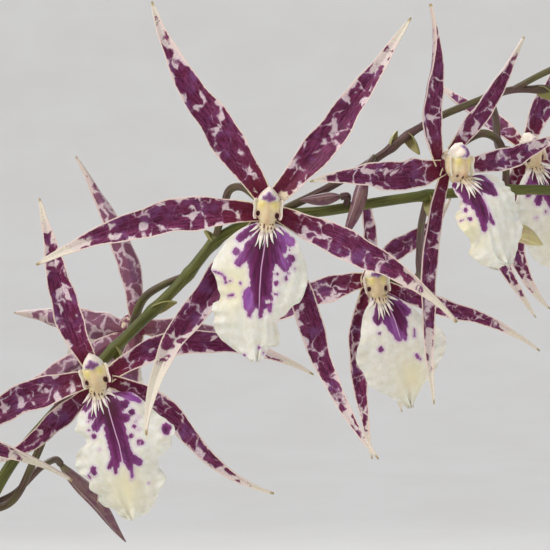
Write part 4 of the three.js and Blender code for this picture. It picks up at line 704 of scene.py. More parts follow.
class Skin:
    """The points, faces and painted values of one piece, gathered part by part."""

    def __init__(self):
        self.points, self.faces, self.values, self.count = [], [], {}, 0

    def add(self, points, quads, others=(), **values):
        """Adds a closed part, turned outside out if need be, with its values at each point or for all."""
        points = np.asarray(points, float).reshape(-1, 3)
        centred = points - points.mean(axis=0)
        fans = [(face[0], face[k], face[k + 1]) for face in others for k in range(1, len(face) - 1)]
        quads = np.asarray(quads)
        corners = np.vstack([quads[:, [0, 1, 2]], quads[:, [0, 2, 3]], np.array(fans).reshape(-1, 3)])
        a, b, c = (centred[corners[:, k].astype(int)] for k in range(3))
        if np.einsum("ij,ij->", a, np.cross(b, c)) < 0:
            quads = quads[:, ::-1]
            others = [face[::-1] for face in others]
        self.faces += (quads + self.count).tolist()
        self.faces += [[int(i) + self.count for i in face] for face in others]
        self.points.append(points)
        for name, value in values.items():
            painted = np.broadcast_to(np.asarray(value, float).reshape(-1, 3), points.shape)
            self.values.setdefault(name, []).append(painted)
        self.count += len(points)

    def build(self, name, material, nodes, slot):
        """Makes the piece, rides it on the body and puts it in the place of its solids."""
        mesh = bpy.data.meshes.new(name)
        mesh.from_pydata((np.vstack(self.points) * MM).tolist(), [], self.faces)
        mesh.polygons.foreach_set("use_smooth", np.ones(len(mesh.polygons), bool))
        for field, parts in self.values.items():
            painted = mesh.attributes.new(field, "FLOAT_VECTOR", "POINT")
            painted.data.foreach_set("vector", np.vstack(parts).astype(np.float32).ravel())
        mesh.materials.append(material)
        piece = link(bpy.data.objects.new(name, mesh))
        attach(piece, "root")
        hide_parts(*nodes)
        return piece


def link(thing):
    """Puts an object in the scene."""
    bpy.context.scene.collection.objects.link(thing)
    return thing


def ring_faces(rows, count):
    """Quads round a stack of rings, and a flat cap at each end."""
    k = np.arange(count)
    first = (np.arange(rows - 1)[:, None] * count + k).ravel()
    second = (np.arange(rows - 1)[:, None] * count + (k + 1) % count).ravel()
    last = (rows - 1) * count
    return np.stack([first, second, second + count, first + count], -1), [list(k[::-1]), list(last + k)]


def slab_faces(rows, columns):
    """Faces of a thin sheet: two grids that share their side edges, closed at both ends."""
    front = np.arange(rows * columns).reshape(rows, columns)
    back = front.copy()
    back[:, 1:-1] = rows * columns + np.arange(rows * (columns - 2)).reshape(rows, columns - 2)

    def grid(g):
        return np.stack([g[:-1, :-1], g[:-1, 1:], g[1:, 1:], g[1:, :-1]], -1).reshape(-1, 4)

    quads = [grid(front), grid(back[:, ::-1])]
    corners = []
    for i, side in ((0, 1), (rows - 1, -1)):
        f, b = front[i], back[i]
        quads.append(np.stack([f[1:-2], b[1:-2], b[2:-1], f[2:-1]], -1)[:, ::side])
        corners += [[f[0], b[1], f[1]][::side], [f[-2], b[-2], f[-1]][::side]]
    return np.vstack(quads), corners


def slab(skin, front, back, **values):
    """Adds a thin sheet between a front and a back grid. A value may be one grid or a pair."""
    rows, columns = front.shape[:2]

    def packed(a, b):
        return np.vstack([a.reshape(-1, 3), b[:, 1:-1].reshape(-1, 3)])

    fields = {}
    for name, value in values.items():
        pair = value if isinstance(value, tuple) else (value, value)
        fields[name] = packed(*pair)
    quads, corners = slab_faces(rows, columns)
    skin.add(packed(front, back), quads, corners, **fields)


def blade(
    course, front, width, outline, thick, channel, twist, edge, columns,
    power=2.0, groove=0.0, lumps=(0, 0),
):
    """Front and back grids of a channelled blade along a course, with its own coordinates: place
    across from -1 to 1, place along from 0 to 1, and both in millimetres.

    `front` says which way it faces, `channel` how deep it is folded, `twist` how far it turns and `edge`
    how its rims wave, each along its length. `lumps` swells and narrows each side by a share of its
    width, from a starting phase."""
    points, ways = course
    u = np.linspace(0, 1, len(points))
    s = np.sin(np.linspace(-math.pi / 2, math.pi / 2, columns))
    half = width * rounded(outline, u) / 2
    side = np.sign(s)[None, :] * 1.1
    share, start = lumps
    swell = np.sin(19 * u[:, None] + start + side) + 0.6 * np.sin(37 * u[:, None] + 2 * start - side)
    spread = half[:, None] * (1 + share * swell * np.clip(5 * u, 0, 1)[:, None])
    facing = front(u)
    normal = unit(facing - ways * np.sum(facing * ways, axis=1, keepdims=True))
    angle = np.radians(twist(u))[:, None]
    normal = normal * np.cos(angle) + np.cross(ways, normal) * np.sin(angle)
    across = unit(np.cross(normal, ways))
    bend = (half * channel(u))[:, None] * (2 * np.abs(s) ** power - 1)
    lift = bend + edge(s[None, :], u[:, None]) * half[:, None] * s**2
    dent = groove * np.exp(-((s / 0.09) ** 2)) * np.clip(half / 3, 0, 1)[:, None]
    body = thick * (1.15 - 0.35 * s**2) * np.sqrt(np.clip(1 - s**10, 0, 1))
    flat = points[:, None] + across[:, None] * (s[None, :] * spread)[..., None]
    top = flat + normal[:, None] * (lift - thick / 2 + body / 2 - dent)[..., None]
    under = flat + normal[:, None] * (lift - thick / 2 - body / 2 - dent)[..., None]
    length = np.concatenate([[0], np.cumsum(np.linalg.norm(np.diff(points, axis=0), axis=1))])
    grid_s = np.broadcast_to(s, lift.shape)
    grid_u = np.broadcast_to(u[:, None], lift.shape)
    return top, under, grid_s, grid_u, triple(grid_s * half[:, None], length[:, None], 0)


def tube(skin, points, radius_at, sides, rows, lobes=0.0, **values):
    """Adds a round stem through points.

    `radius_at` takes the share of the way, the reach in millimetres and the places on the course."""
    places, ways, length = curve_points(points, rows + 1)
    u = np.linspace(0, 1, rows + 1)
    radius = radius_at(u, u * length, places)
    side = unit(np.cross(ways[0], (0.13, 0.9, 0.41)))
    angle = full_turn(sides)
    rings = []
    for place, way, r in zip(places, ways, radius):
        side = unit(side - way * (side @ way))
        other = np.cross(way, side)
        spread = r * (1 + lobes * np.cos(3 * angle))
        ring = place + np.outer(np.cos(angle) * spread, side)
        rings.append(ring + np.outer(np.sin(angle) * spread, other))
    turns = np.tile(angle, rows + 1)
    pattern = triple(turns * np.repeat(radius, sides), np.repeat(u * length, sides), 0)
    skin.add(np.array(rings), *ring_faces(rows + 1, sides), pattern=pattern, **values)


def colour(code):
    """A linear colour from its sRGB hex code."""
    parts = [int(code[i:i + 2], 16) / 255 for i in (0, 2, 4)]
    linear = [p / 12.92 if p < 0.04045 else ((p + 0.055) / 1.055) ** 2.4 for p in parts]
    return (*linear, 1.0)


class Look:
    """A material's graph of nodes, built with short calls."""

    def __init__(self, name, **plain):
        self.material = bpy.data.materials.new(name)
        self.material.use_nodes = True
        self.tree = self.material.node_tree
        self.surface = self.tree.nodes["Principled BSDF"]
        for socket, value in plain.items():
            self.surface.inputs[socket.replace("_", " ")].default_value = value

    def put(self, kind, inputs, output=0, **settings):
        """Adds a node, whose inputs are plain values or other nodes' outputs, and gives one output."""
        node = self.tree.nodes.new(kind)
        for key, value in settings.items():
            setattr(node, key, value)
        for socket, value in inputs.items():
            if isinstance(value, bpy.types.NodeSocket):
                self.tree.links.new(value, node.inputs[socket])
            else:
                node.inputs[socket].default_value = value
        return node.outputs[output]

    def math(self, operation, a, b=0.0):
        return self.put("ShaderNodeMath", {0: a, 1: b}, operation=operation)

    def plus(self, a, b):
        return self.math("ADD", a, b)

    def minus(self, a, b):
        return self.math("SUBTRACT", a, b)

    def times(self, a, b):
        return self.math("MULTIPLY", a, b)

    def size(self, a):
        return self.math("ABSOLUTE", a)

    def sway(self, noise, share):
        """A noise that swings both ways round zero."""
        return self.times(self.minus(noise, 0.5), share)

    def mix(self, share, a, b):
        pair = [colour(x) if isinstance(x, str) else x for x in (a, b)]
        return self.put("ShaderNodeMix", {0: share, 6: pair[0], 7: pair[1]}, 2, data_type="RGBA")

    def step(self, value, low, high, start=0.0, end=1.0):
        """Runs smoothly from start to end as a value runs from low to high."""
        ends = {0: value, 1: low, 2: high, 3: start, 4: end}
        return self.put("ShaderNodeMapRange", ends, interpolation_type="SMOOTHSTEP")

    def blend(self, a, b, value, low, high, share=1.0):
        """A colour that goes its share of the way from a to b as a value runs from low to high."""
        return self.mix(self.step(value, low, high, 0, share), a, b)

    def scaled(self, vector, x, y, z):
        return self.put("ShaderNodeVectorMath", {0: vector, 1: (x, y, z)}, operation="MULTIPLY")

    def moved(self, vector, other):
        return self.put("ShaderNodeVectorMath", {0: vector, 1: other}, operation="ADD")

    def noise(self, vector, scale, detail=3.0, roughness=0.55, output=0):
        inputs = {"Vector": vector, "Scale": scale, "Detail": detail, "Roughness": roughness}
        return self.put("ShaderNodeTexNoise", inputs, output)

    def grain(self, vector, x, y, detail=3.0, roughness=0.55):
        """Noise that is stretched along one way of a surface."""
        return self.noise(self.scaled(vector, x, y, 1), 1.0, detail, roughness)

    def field(self, name):
        """A value that is painted on the mesh."""
        return self.put("ShaderNodeAttribute", {}, 1, attribute_name=name)

    def place(self):
        """The point of the object, in millimetres."""
        return self.scaled(self.put("ShaderNodeTexCoord", {}, 3), 1000, 1000, 1000)

    def parts(self, vector):
        return self.put("ShaderNodeSeparateXYZ", {0: vector}).node.outputs

    def split(self, name):
        return self.parts(self.field(name))

    def colour_it(self, base):
        self.tree.links.new(base, self.surface.inputs["Base Color"])
        return self.material

    def wear(self, base, value, smooth, rough, relief, depth, strength):
        """Puts on a colour, a roughness that follows a value, and a relief of so many millimetres."""
        gloss = self.step(value, 0.2, 0.8, smooth, rough)
        bump = {"Height": relief, "Distance": depth * MM, "Strength": strength}
        self.tree.links.new(gloss, self.surface.inputs["Roughness"])
        self.tree.links.new(self.put("ShaderNodeBump", bump), self.surface.inputs["Normal"])
        return self.colour_it(base)


def tepal_cracks(look, pattern, along, rim, bays, ragged):
    """How deep each point lies in its purple cell, less than 0 in the pale cracks between the cells."""
    warp = look.scaled(look.moved(look.noise(pattern, 0.3, 1, output=1), (-0.5, -0.5, -0.5)), 5, 5, 0)
    cell_map = look.scaled(look.moved(pattern, warp), 1 / 4.2, 1 / 5.6, 1)
    cells = look.put(
        "ShaderNodeTexVoronoi", {"Vector": cell_map, "Scale": 1.0, "Randomness": 0.95},
        feature="DISTANCE_TO_EDGE", voronoi_dimensions="2D",
    )
    open_here = look.step(look.noise(pattern, 0.13, 1), 0.37, 0.67, -0.045, 0.105)
    spread = look.step(look.noise(pattern, 0.22, 1), 0.5, 0.7, 0, 0.1)
    near_rim = look.times(look.step(rim, 0.5, 1.0), spread)
    near_tip = look.step(look.minus(along, bays[1]), -0.16, 0.0, 0, 0.22)
    threshold = look.plus(look.plus(open_here, near_rim), near_tip)
    threshold = look.minus(threshold, look.step(along, 0.14, 0.05, 0, 0.1))
    # Where bays are listed, fewer cracks open by themselves
    threshold = look.minus(threshold, look.times(bays[2], 0.12))
    threshold = look.plus(threshold, look.step(bays[0], 1.3, -0.4, 0, 0.27))
    return look.minus(look.plus(cells, look.times(ragged, 0.26)), threshold)


def tepal_purple(look, pattern, along, depth, streaks, fine, stipple):
    """Purple with streaks along the veins, a painted violet sheen in broad patches, redder in places and
    near the base.
    """
    broad = look.noise(pattern, 0.16, 2)
    purple = look.blend("470a2e", "843561", streaks, 0.34, 0.68)
    # Broad violet patches where a noise is high: a painted sheen on the purple
    purple = look.blend(purple, "7c4a80", broad, 0.5, 0.7, 0.65)
    purple = look.blend(purple, "5c0b2e", look.noise(pattern, 0.35, 3), 0.5, 0.68, 0.6)
    purple = look.blend(purple, "680e25", along, 0.28, 0.06, 0.8)
    blush = look.times(look.step(depth, 0.2, 0.0), look.step(stipple, 0.35, 0.65, 0.1, 0.75))
    purple = look.mix(blush, purple, "93587f")
    flecks = look.times(look.step(stipple, 0.54, 0.7, 0, 0.6), look.step(fine, 0.42, 0.62))
    return look.mix(flecks, purple, "b58aa6")


def tepal_pale(look, along, from_edge, beyond, tip, fine, stipple):
    """The pale ground: rosy in the cracks, cream at the rim, the root and the tip."""
    pale = look.blend("d6bdc9", "eadcd9", fine, 0.35, 0.65)
    pale = look.blend(pale, "ddd2c4", beyond, -0.3, -0.04, 0.75)
    pale = look.blend(pale, "a9799a", stipple, 0.5, 0.66, 0.6)
    pale = look.blend(pale, "e8d2c6", from_edge, 0.75, 0.35, 0.85)
    pale = look.mix(look.times(tip, 0.8), pale, "e2dac6")
    streaked = look.times(look.step(stipple, 0.5, 0.7, 0, 0.45), tip)
    pale = look.mix(streaked, pale, "b3a08c")
    pale = look.blend(pale, "ecdcb6", along, 0.13, 0.05, 0.85)
    return look.blend(pale, "a08a4c", along, 0.972, 0.992, 0.85)


def tepal_look():
    """Wine purple in big running blotches, with pale cracks, a pale rim and a cream tip."""
    look = Look("tepal_finish", Subsurface_Weight=0.06, Subsurface_Scale=0.0008, Specular_IOR_Level=0.2)
    pattern = look.field("pattern")
    across, along, rear = look.split("place")
    bays = look.split("bays")
    rim = look.size(across)
    from_edge = look.split("edge")[0]
    lobes = look.minus(look.noise(pattern, 0.75, 2, 0.5), 0.5)
    fine = look.noise(pattern, 2.4, 3, 0.6)
    stipple = look.grain(pattern, 5.5, 1.7, 3, 0.7)
    ragged = look.plus(lobes, look.sway(fine, 0.45))
    feather = look.sway(stipple, 0.4)
    depth = tepal_cracks(look, pattern, along, rim, bays, ragged)
    dyed = look.step(look.plus(depth, look.times(feather, 0.5)), -0.05, 0.085)
    bay_depth = look.plus(bays[0], look.times(ragged, 2.4))
    bay = look.step(look.plus(bay_depth, look.plus(feather, 0.35)), -0.4, 0.42)
    rim_free = look.step(look.plus(from_edge, look.times(ragged, 0.5)), 0.28, 0.46)
    beyond = look.minus(along, bays[1])
    tip = look.step(look.plus(beyond, look.times(ragged, 0.2)), -0.02, 0.02)
    inked = look.times(look.times(dyed, bay), rim_free)
    inked = look.times(inked, look.minus(1.0, tip))
    streaks = look.grain(pattern, 2.0, 0.22, 4, 0.65)
    purple = tepal_purple(look, pattern, along, depth, streaks, fine, stipple)
    pale = tepal_pale(look, along, from_edge, beyond, tip, fine, stipple)
    front = look.mix(inked, pale, purple)
    face = look.mix(look.times(rear, 0.35), front, "94707a")
    relief = look.plus(look.times(streaks, 0.8), look.times(fine, 0.35))
    return look.wear(face, fine, 0.38, 0.52, relief, 0.28, 0.8)


def lip_look():
    """White, with purple marks that fan out along the veins, maroon throat and a cream centre."""
    look = Look("lip_finish", Subsurface_Weight=0.1, Subsurface_Scale=0.001, Specular_IOR_Level=0.25)
    pattern = look.field("pattern")
    fan_parts = look.split("fan")
    fan = look.scaled(look.field("fan"), 1, 1, 0)
    marks = look.split("marks")
    extra = look.split("place")
    grain = look.grain(fan, 1.3, 0.5, 3, 0.6)
    broad = look.noise(pattern, 0.45, 2)
    ragged = look.sway(grain, 1.3)
    feather = look.grain(fan, 3.4, 0.7, 3, 0.65)
    ragged = look.plus(ragged, look.sway(feather, 0.9))
    sway = look.sway(broad, 0.8)
    reach = look.plus(look.plus(marks[0], ragged), sway)
    dyed = look.step(reach, 0.24, -0.16)
    veins = look.grain(fan, 1.1, 0.1, 3, 0.6)
    flame = look.grain(fan, 0.36, 0.09, 2)
    deep = look.blend("430730", "6e1c56", veins, 0.34, 0.7)
    violet = look.blend("80408f", "a870b6", veins, 0.34, 0.7)
    shade = look.plus(marks[1], look.step(flame, 0.34, 0.66, -0.35, 0.3))
    purple = look.blend(deep, violet, shade, 0.2, 1.1)
    purple = look.blend(purple, "90468a", reach, -1.8, 0.05, 0.6)
    purple = look.blend(purple, "45093a", flame, 0.5, 0.3, 0.45)
    purple = look.mix(look.times(fan_parts[2], 0.92), purple, "3f0819")
    # Darker cream-grey in broad soft patches on the white: painted shade, as of shallow folds
    white = look.blend("e9e8df", "dfdccc", broad, 0.3, 0.7)
    white = look.blend(white, "d6d2be", veins, 0.5, 0.75, 0.16)
    white = look.mix(look.times(marks[2], 0.7), white, "e8deb0")
    white = look.blend(white, "cba6cb", reach, 1.1, 0.1, 0.5)
    face = look.mix(dyed, white, purple)
    line = look.size(extra[0])
    thread = look.times(look.step(line, 0.24, 0.05), look.step(extra[1], 0.0, 1.0))
    face = look.mix(look.times(thread, 0.85), face, "dcb0d4")
    face = look.mix(look.times(extra[2], 0.2), face, "d8cfc4")
    relief = look.plus(veins, look.times(look.noise(pattern, 0.9, 3), 0.5))
    return look.wear(face, grain, 0.42, 0.58, relief, 0.3, 0.7)


def column_look():
    """Cream and waxy, yellow below the hood, with a purple cap and dark eyes."""
    look = Look("column_finish", Subsurface_Weight=0.2, Subsurface_Scale=0.001)
    marks = look.split("marks")
    tints = look.split("tints")
    pattern = look.field("pattern")
    grain = look.noise(pattern, 1.4, 3)
    ragged = look.sway(look.noise(pattern, 1.7, 2), 0.8)
    body = look.blend("e4d2a6", "eddfbc", grain, 0.35, 0.65)
    body = look.mix(look.times(tints[1], 0.85), body, "d3b68e")
    body = look.mix(look.times(tints[0], 0.85), body, "dfcd6c")
    body = look.mix(marks[2], body, "f1e7db")
    cap = look.step(look.plus(marks[0], ragged), 0.42, -0.35)
    purple = look.blend("6c2860", "a786b9", marks[0], -0.7, 0.25)
    face = look.mix(cap, body, purple)
    flush = look.times(look.step(look.plus(marks[1], ragged), 1.0, 0.1), 0.3)
    face = look.mix(flush, face, "bd8370")
    eye = look.step(look.plus(marks[1], look.times(ragged, 0.4)), 0.1, -0.1)
    face = look.mix(eye, face, "3c0c18")
    face = look.mix(look.times(tints[2], 0.8), face, "7a2f52")
    return look.wear(face, grain, 0.32, 0.46, grain, 0.15, 0.7)


def leaf_look():
    """Mid green strap leaf with parallel veins, a pale midrib and a duller back."""
    look = Look("leaf_finish", Subsurface_Weight=0.08, Subsurface_Scale=0.002)
    pattern = look.field("pattern")
    spot = look.split("place")
    broad = look.grain(pattern, 0.05, 0.012, 3)
    veins = look.grain(pattern, 1.1, 0.006, 3, 0.6)
    fine = look.grain(pattern, 3.0, 0.05, 3, 0.6)
    green = look.blend("2f5719", "4f7d2b", broad, 0.3, 0.7)
    green = look.mix(look.times(look.step(veins, 0.42, 0.7), 0.45), green, "6f9a3e")
    middle = look.step(look.size(spot[0]), 0.07, 0.015, 0, 0.65)
    green = look.mix(middle, green, "8fae55")
    green = look.blend(green, "9aa25a", look.size(spot[0]), 0.95, 1.0, 0.35)
    green = look.blend(green, "a9b56c", spot[1], 0.16, 0.0, 0.7)
    old = look.step(look.plus(spot[1], look.times(broad, 0.04)), 0.985, 1.01, 0, 0.9)
    green = look.mix(old, green, "7a5a2c")
    specks = look.step(look.noise(pattern, 0.35, 4, 0.7), 0.7, 0.76, 0, 0.5)
    green = look.mix(specks, green, "5a5a22")
    face = look.mix(look.times(spot[2], 0.45), green, "7f9a58")
    relief = look.plus(veins, look.times(fine, 0.5))
    return look.wear(face, fine, 0.3, 0.5, relief, 0.35, 0.7)


def bulb_look():
    """Ribbed green pseudobulb, yellower with age, with brown scars at its foot and top."""
    look = Look("pseudobulb_finish", Subsurface_Weight=0.06, Subsurface_Scale=0.002)
    pattern = look.field("pattern")
    spot = look.split("place")
    veins = look.grain(pattern, 0.9, 0.02, 4, 0.6)
    mottle = look.noise(pattern, 0.12, 4, 0.6)
    green = look.blend("5e7f2c", "86a047", mottle, 0.3, 0.7)
    green = look.mix(look.times(look.step(veins, 0.4, 0.7), 0.4), green, "a3b561")
    green = look.mix(look.times(spot[1], 0.6), green, "9c9a4c")
    foot = look.step(look.plus(spot[0], look.times(mottle, 0.1)), 0.16, 0.06)
    green = look.mix(foot, green, "6d4d2b")
    top = look.step(spot[0], 0.93, 0.99, 0, 0.7)
    green = look.mix(top, green, "7a6231")
    scars = look.step(look.noise(pattern, 0.5, 5, 0.7), 0.64, 0.72, 0, 0.6)
    green = look.mix(scars, green, "5f4a22")
    return look.wear(green, mottle, 0.38, 0.55, veins, 0.5, 0.8)


def husk_look():
    """Dry fibrous sheath, straw coloured with brown tatters."""
    look = Look("husk_finish")
    pattern = look.field("pattern")
    fibres = look.grain(pattern, 2.2, 0.06, 5, 0.7)
    broad = look.noise(pattern, 0.12, 3)
    straw = look.blend("8a6a3e", "cbb283", fibres, 0.3, 0.7)
    straw = look.blend(straw, "6a4a2a", broad, 0.45, 0.65, 0.6)
    return look.wear(straw, fibres, 0.7, 0.9, fibres, 0.5, 0.9)


def root_look():
    """Silvery root with a dull green tinge."""
    look = Look("root_finish")
    place = look.place()
    grain = look.noise(place, 1.2, 4, 0.65)
    broad = look.noise(place, 0.15, 2)
    grey = look.blend("a9a48c", "d6d3c2", grain, 0.3, 0.7)
    grey = look.blend(grey, "8c9163", broad, 0.45, 0.7, 0.5)
    return look.wear(grey, grain, 0.75, 0.9, grain, 0.35, 0.8)


def bark_look():
    """Fir bark chips, dark red brown with lighter grain, each a little different."""
    look = Look("bark_finish")
    place = look.place()
    grain = look.noise(look.moved(look.scaled(place, 0.5, 0.5, 1.6), look.field("pattern")), 1.0, 5, 0.7)
    spot = look.split("place")
    chip = look.mix(spot[0], "2e1a10", "7a4a2b")
    chip = look.blend(chip, "a8764a", grain, 0.4, 0.75, 0.75)
    chip = look.blend(chip, "22140d", look.noise(place, 0.3, 4), 0.52, 0.7, 0.6)
    return look.wear(chip, grain, 0.8, 0.95, grain, 1.0, 0.9)


def clay_look():
    """Fired clay with faint turning lines and a chalky bloom of lime."""
    look = Look("clay_finish")
    place = look.place()
    height = look.parts(place)[2]
    mottle = look.noise(place, 0.045, 5, 0.6)
    grain = look.noise(place, 1.6, 4, 0.7)
    lines = look.noise(look.scaled(place, 0.004, 0.004, 0.55), 1.0, 3, 0.6)
    clay = look.blend("96502c", "bd6d44", mottle, 0.3, 0.7)
    clay = look.blend(clay, "d39a70", grain, 0.45, 0.8, 0.35)
    low = look.step(look.plus(height, look.times(mottle, 60)), 75, 20, 0, 0.35)
    clay = look.mix(low, clay, "6f3a22")
    lime = look.noise(place, 0.07, 6, 0.75)
    rim = look.step(height, 88, 112, 0, 0.08)
    clay = look.blend(clay, "d9c4ae", look.plus(lime, rim), 0.6, 0.78, 0.6)
    relief = look.plus(look.times(lines, 1.5), look.times(grain, 0.4))
    return look.wear(clay, grain, 0.78, 0.92, relief, 0.35, 0.8)


def stem_look():
    """Dark green stem, browner purple on the branch and stalks."""
    look = Look("stem_finish", Subsurface_Weight=0.05, Subsurface_Scale=0.001, Specular_IOR_Level=0.3)
    place = look.place()
    tint = look.split("place")
    pattern = look.field("pattern")
    fibres = look.grain(pattern, 1.6, 0.09, 4, 0.6)
    broad = look.noise(place, 0.09, 3)
    green = look.blend("434a1c", "6c6f33", fibres, 0.3, 0.7)
    ruddy = look.blend("46302d", "6f5250", fibres, 0.3, 0.7)
    share = look.plus(tint[0], look.step(broad, 0.3, 0.7, -0.25, 0.25))
    face = look.blend(green, ruddy, share, 0.1, 0.9)
    face = look.mix(look.times(tint[1], 0.95), face, "a9a468")
    specks = look.step(look.noise(place, 1.1, 3), 0.64, 0.7, 0, 0.5)
    face = look.mix(specks, face, "3b1c26")
    return look.wear(face, fibres, 0.4, 0.55, fibres, 0.15, 0.8)


def bud_look(name, light, dark, flush, seam):
    """Closed bud with darker seams and a mottled flush."""
    look = Look(name, Subsurface_Weight=0.1, Subsurface_Scale=0.0015)
    place = look.place()
    spot = look.split("place")
    pattern = look.field("pattern")
    veins = look.grain(pattern, 1.6, 0.1, 4, 0.6)
    mottle = look.noise(place, 0.35, 4, 0.65)
    face = look.blend(dark, light, veins, 0.3, 0.7)
    face = look.blend(face, flush, mottle, 0.48, 0.62, 0.85)
    face = look.blend(face, seam, spot[0], 0.45, 0.95, 0.8)
    face = look.blend(face, "6f7a40", spot[1], 0.12, 0.0, 0.6)
    return look.wear(face, veins, 0.4, 0.55, veins, 0.18, 0.8)


def pot_profile():
    """Radius and height along the pot's section: up its outside, over the rim and down to its floor."""
    rim_low = POT_HEIGHT - RIM_HEIGHT
    outside = [
        (POT_FOOT_RADIUS - 1.5, 0), (POT_FOOT_RADIUS - 0.4, 0.4), (POT_FOOT_RADIUS, 1.5),
        (POT_TOP_RADIUS - 2.6, rim_low),
    ]
    rim = [
        (RIM_RADIUS - 2, rim_low), (RIM_RADIUS - 1, rim_low + 0.4), (RIM_RADIUS - 0.6, rim_low + 1.4),
        (RIM_RADIUS, POT_HEIGHT - 2), (RIM_RADIUS - 0.6, POT_HEIGHT - 0.6), (RIM_RADIUS - 2, POT_HEIGHT),
    ]
    inside = [
        (INNER_TOP + 2, POT_HEIGHT), (INNER_TOP + 0.6, POT_HEIGHT - 0.6), (INNER_TOP, POT_HEIGHT - 2),
        (INNER_FOOT + 0.6, POT_FLOOR + 3), (INNER_FOOT - 2, POT_FLOOR),
    ]
    corners = outside + rim + inside
    fine = []
    for (r0, z0), (r1, z1) in zip(corners, corners[1:]):
        pieces = max(1, round(math.hypot(r1 - r0, z1 - z0) / POT_STEP))
        fine += [(r0 + (r1 - r0) * k / pieces, z0 + (z1 - z0) * k / pieces) for k in range(pieces)]
    return np.array(fine + corners[-1:])


def drain_drill():
    """Rods that stand where the drain holes are cut."""
    drill = Skin()
    ends = (-DRILL_SPARE, POT_FLOOR + DRILL_SPARE)
    for turn in full_turn(DRAIN_COUNT):
        x, y = DRAIN_CIRCLE * math.cos(turn), DRAIN_CIRCLE * math.sin(turn)
        rod = [
            (x + DRAIN_RADIUS * math.cos(a), y + DRAIN_RADIUS * math.sin(a), z)
            for z in ends for a in full_turn(DRAIN_SIDES)
        ]
        drill.add(rod, *ring_faces(len(ends), DRAIN_SIDES))
    mesh = bpy.data.meshes.new("drain_drill")
    mesh.from_pydata((np.vstack(drill.points) * MM).tolist(), [], drill.faces)
    return link(bpy.data.objects.new("drain_drill", mesh))


def build_pot(material):
    """Turned clay pot with a rim band, and drain holes cut through its floor."""
    profile = pot_profile()
    angle = full_turn(POT_SIDES)
    radius = profile[:, 0]
    rings = triple(np.outer(radius, np.cos(angle)), np.outer(radius, np.sin(angle)), profile[:, 1:])
    outer = np.hypot(rings[..., 0], rings[..., 1])
    # A little out of round by hand, but for the foot and the widest line of the rim
    wobble = 1 + POT_WOBBLE * waves(rings, 38, 3) * np.clip(rings[..., 2] / 20, 0, 1)
    rings[..., :2] *= np.where(outer < RIM_RADIUS - 0.1, wobble, 1)[..., None]
    skin = Skin()
    skin.add(rings, *ring_faces(len(profile), POT_SIDES))
    pot = skin.build("clay_pot", material, ["pot"], "clay")
    cutter = drain_drill()
    cut = pot.modifiers.new("drains", "BOOLEAN")
    cut.object = cutter
    cut.operation = "DIFFERENCE"
    cut.solver = "EXACT"
    evaluated = pot.evaluated_get(bpy.context.evaluated_depsgraph_get())
    bored = bpy.data.meshes.new_from_object(evaluated)
    pot.modifiers.clear()
    pot.data = bored
    bpy.data.objects.remove(cutter)
    edges_sharp(pot, 40)


def edges_sharp(piece, degrees):
    """Shades a piece smooth but for its sharp edges."""
    piece.data.set_sharp_from_angle(angle=math.radians(degrees))


def chip_grid(size, seed):
    """An uneven block of bark with rounded corners."""
    lift = np.linspace(-math.pi / 2 + 0.12, math.pi / 2 - 0.12, CHIP_ROWS)[:, None]
    turn = full_turn(CHIP_SIDES)

    def squared(value, power):
        return np.sign(value) * np.abs(value) ** power

    # Squared corners, then a coarse and a fine unevenness
    x = squared(np.cos(lift), 0.35) * squared(np.cos(turn), 0.45)
    y = squared(np.cos(lift), 0.35) * squared(np.sin(turn), 0.45)
    points = triple(x, y, squared(np.sin(lift), 0.5)) * np.array(size) / 2
    points += 0.9 * np.stack([waves(points, 9, seed + k) for k in range(3)], -1) * (1, 1, 0.6)
    points += 0.22 * np.stack([waves(points * (1, 1, 3), 2.6, seed + 9 + k) for k in range(3)], -1)
    return points


def build_bark(material):
    """Bark mix: a crumbly bed with loose chips lying over it."""
    slope = (INNER_TOP - INNER_FOOT) / (POT_HEIGHT - 2 - POT_FLOOR)

    def wall_at(z):
        return INNER_FOOT + slope * (z - POT_FLOOR) - GAP - 0.5

    skin = Skin()
    edge = wall_at(BED_EDGE)
    levels = [(wall_at(POT_FLOOR + 1), POT_FLOOR + GAP), (edge, BED_EDGE)]
    levels += [(edge * k / BED_RINGS, BED_LEVEL) for k in range(BED_RINGS, 0, -1)]
    rings = np.array([
        [(r * math.cos(a), r * math.sin(a), z) for a in full_turn(BED_SIDES)] for r, z in levels
    ])
    # The bed is uneven inside its edge
    rings[3:, :, 2] += 1.4 * waves(rings[3:], 8, 5) + 0.6 * waves(rings[3:], 3, 6)
    skin.add(rings, *ring_faces(len(levels), BED_SIDES), place=(BED_TONE, 0, 0), pattern=(0, 0, 0))
    random = np.random.default_rng(BARK_SEED)
    golden = math.pi * (3 - math.sqrt(5))
    reach = wall_at(BARK_TOP)
    for i in range(CHIP_COUNT):
        radius = (reach - CHIP_MARGIN) * math.sqrt((i + 0.5) / CHIP_COUNT)
        size = np.array(CHIP_SIZE) * random.uniform(*CHIP_SHARES, 3)
        chip = chip_grid(size, CHIP_SEED + i)
        spin = turn_z(random.uniform(0, 360)) @ turn_x(random.uniform(-CHIP_PITCH, CHIP_PITCH))
        spin = spin @ turn_y(random.uniform(-CHIP_ROLL, CHIP_ROLL))
        height = BARK_TOP + random.uniform(*CHIP_LEVELS)
        chip = chip @ spin.T + (radius * math.cos(i * golden), radius * math.sin(i * golden), height)
        out = np.hypot(chip[..., 0], chip[..., 1])
        chip[..., :2] *= np.minimum(1, reach / np.maximum(out, 1))[..., None]
        tone = random.uniform(*CHIP_TONES)
        shift = random.uniform(-CHIP_SHIFT, CHIP_SHIFT, 3)
        skin.add(chip, *ring_faces(CHIP_ROWS, CHIP_SIDES), place=(tone, 0, 0), pattern=shift)
    edges_sharp(skin.build("bark_chips", material, ["bark"], "bark_mix"), 55)


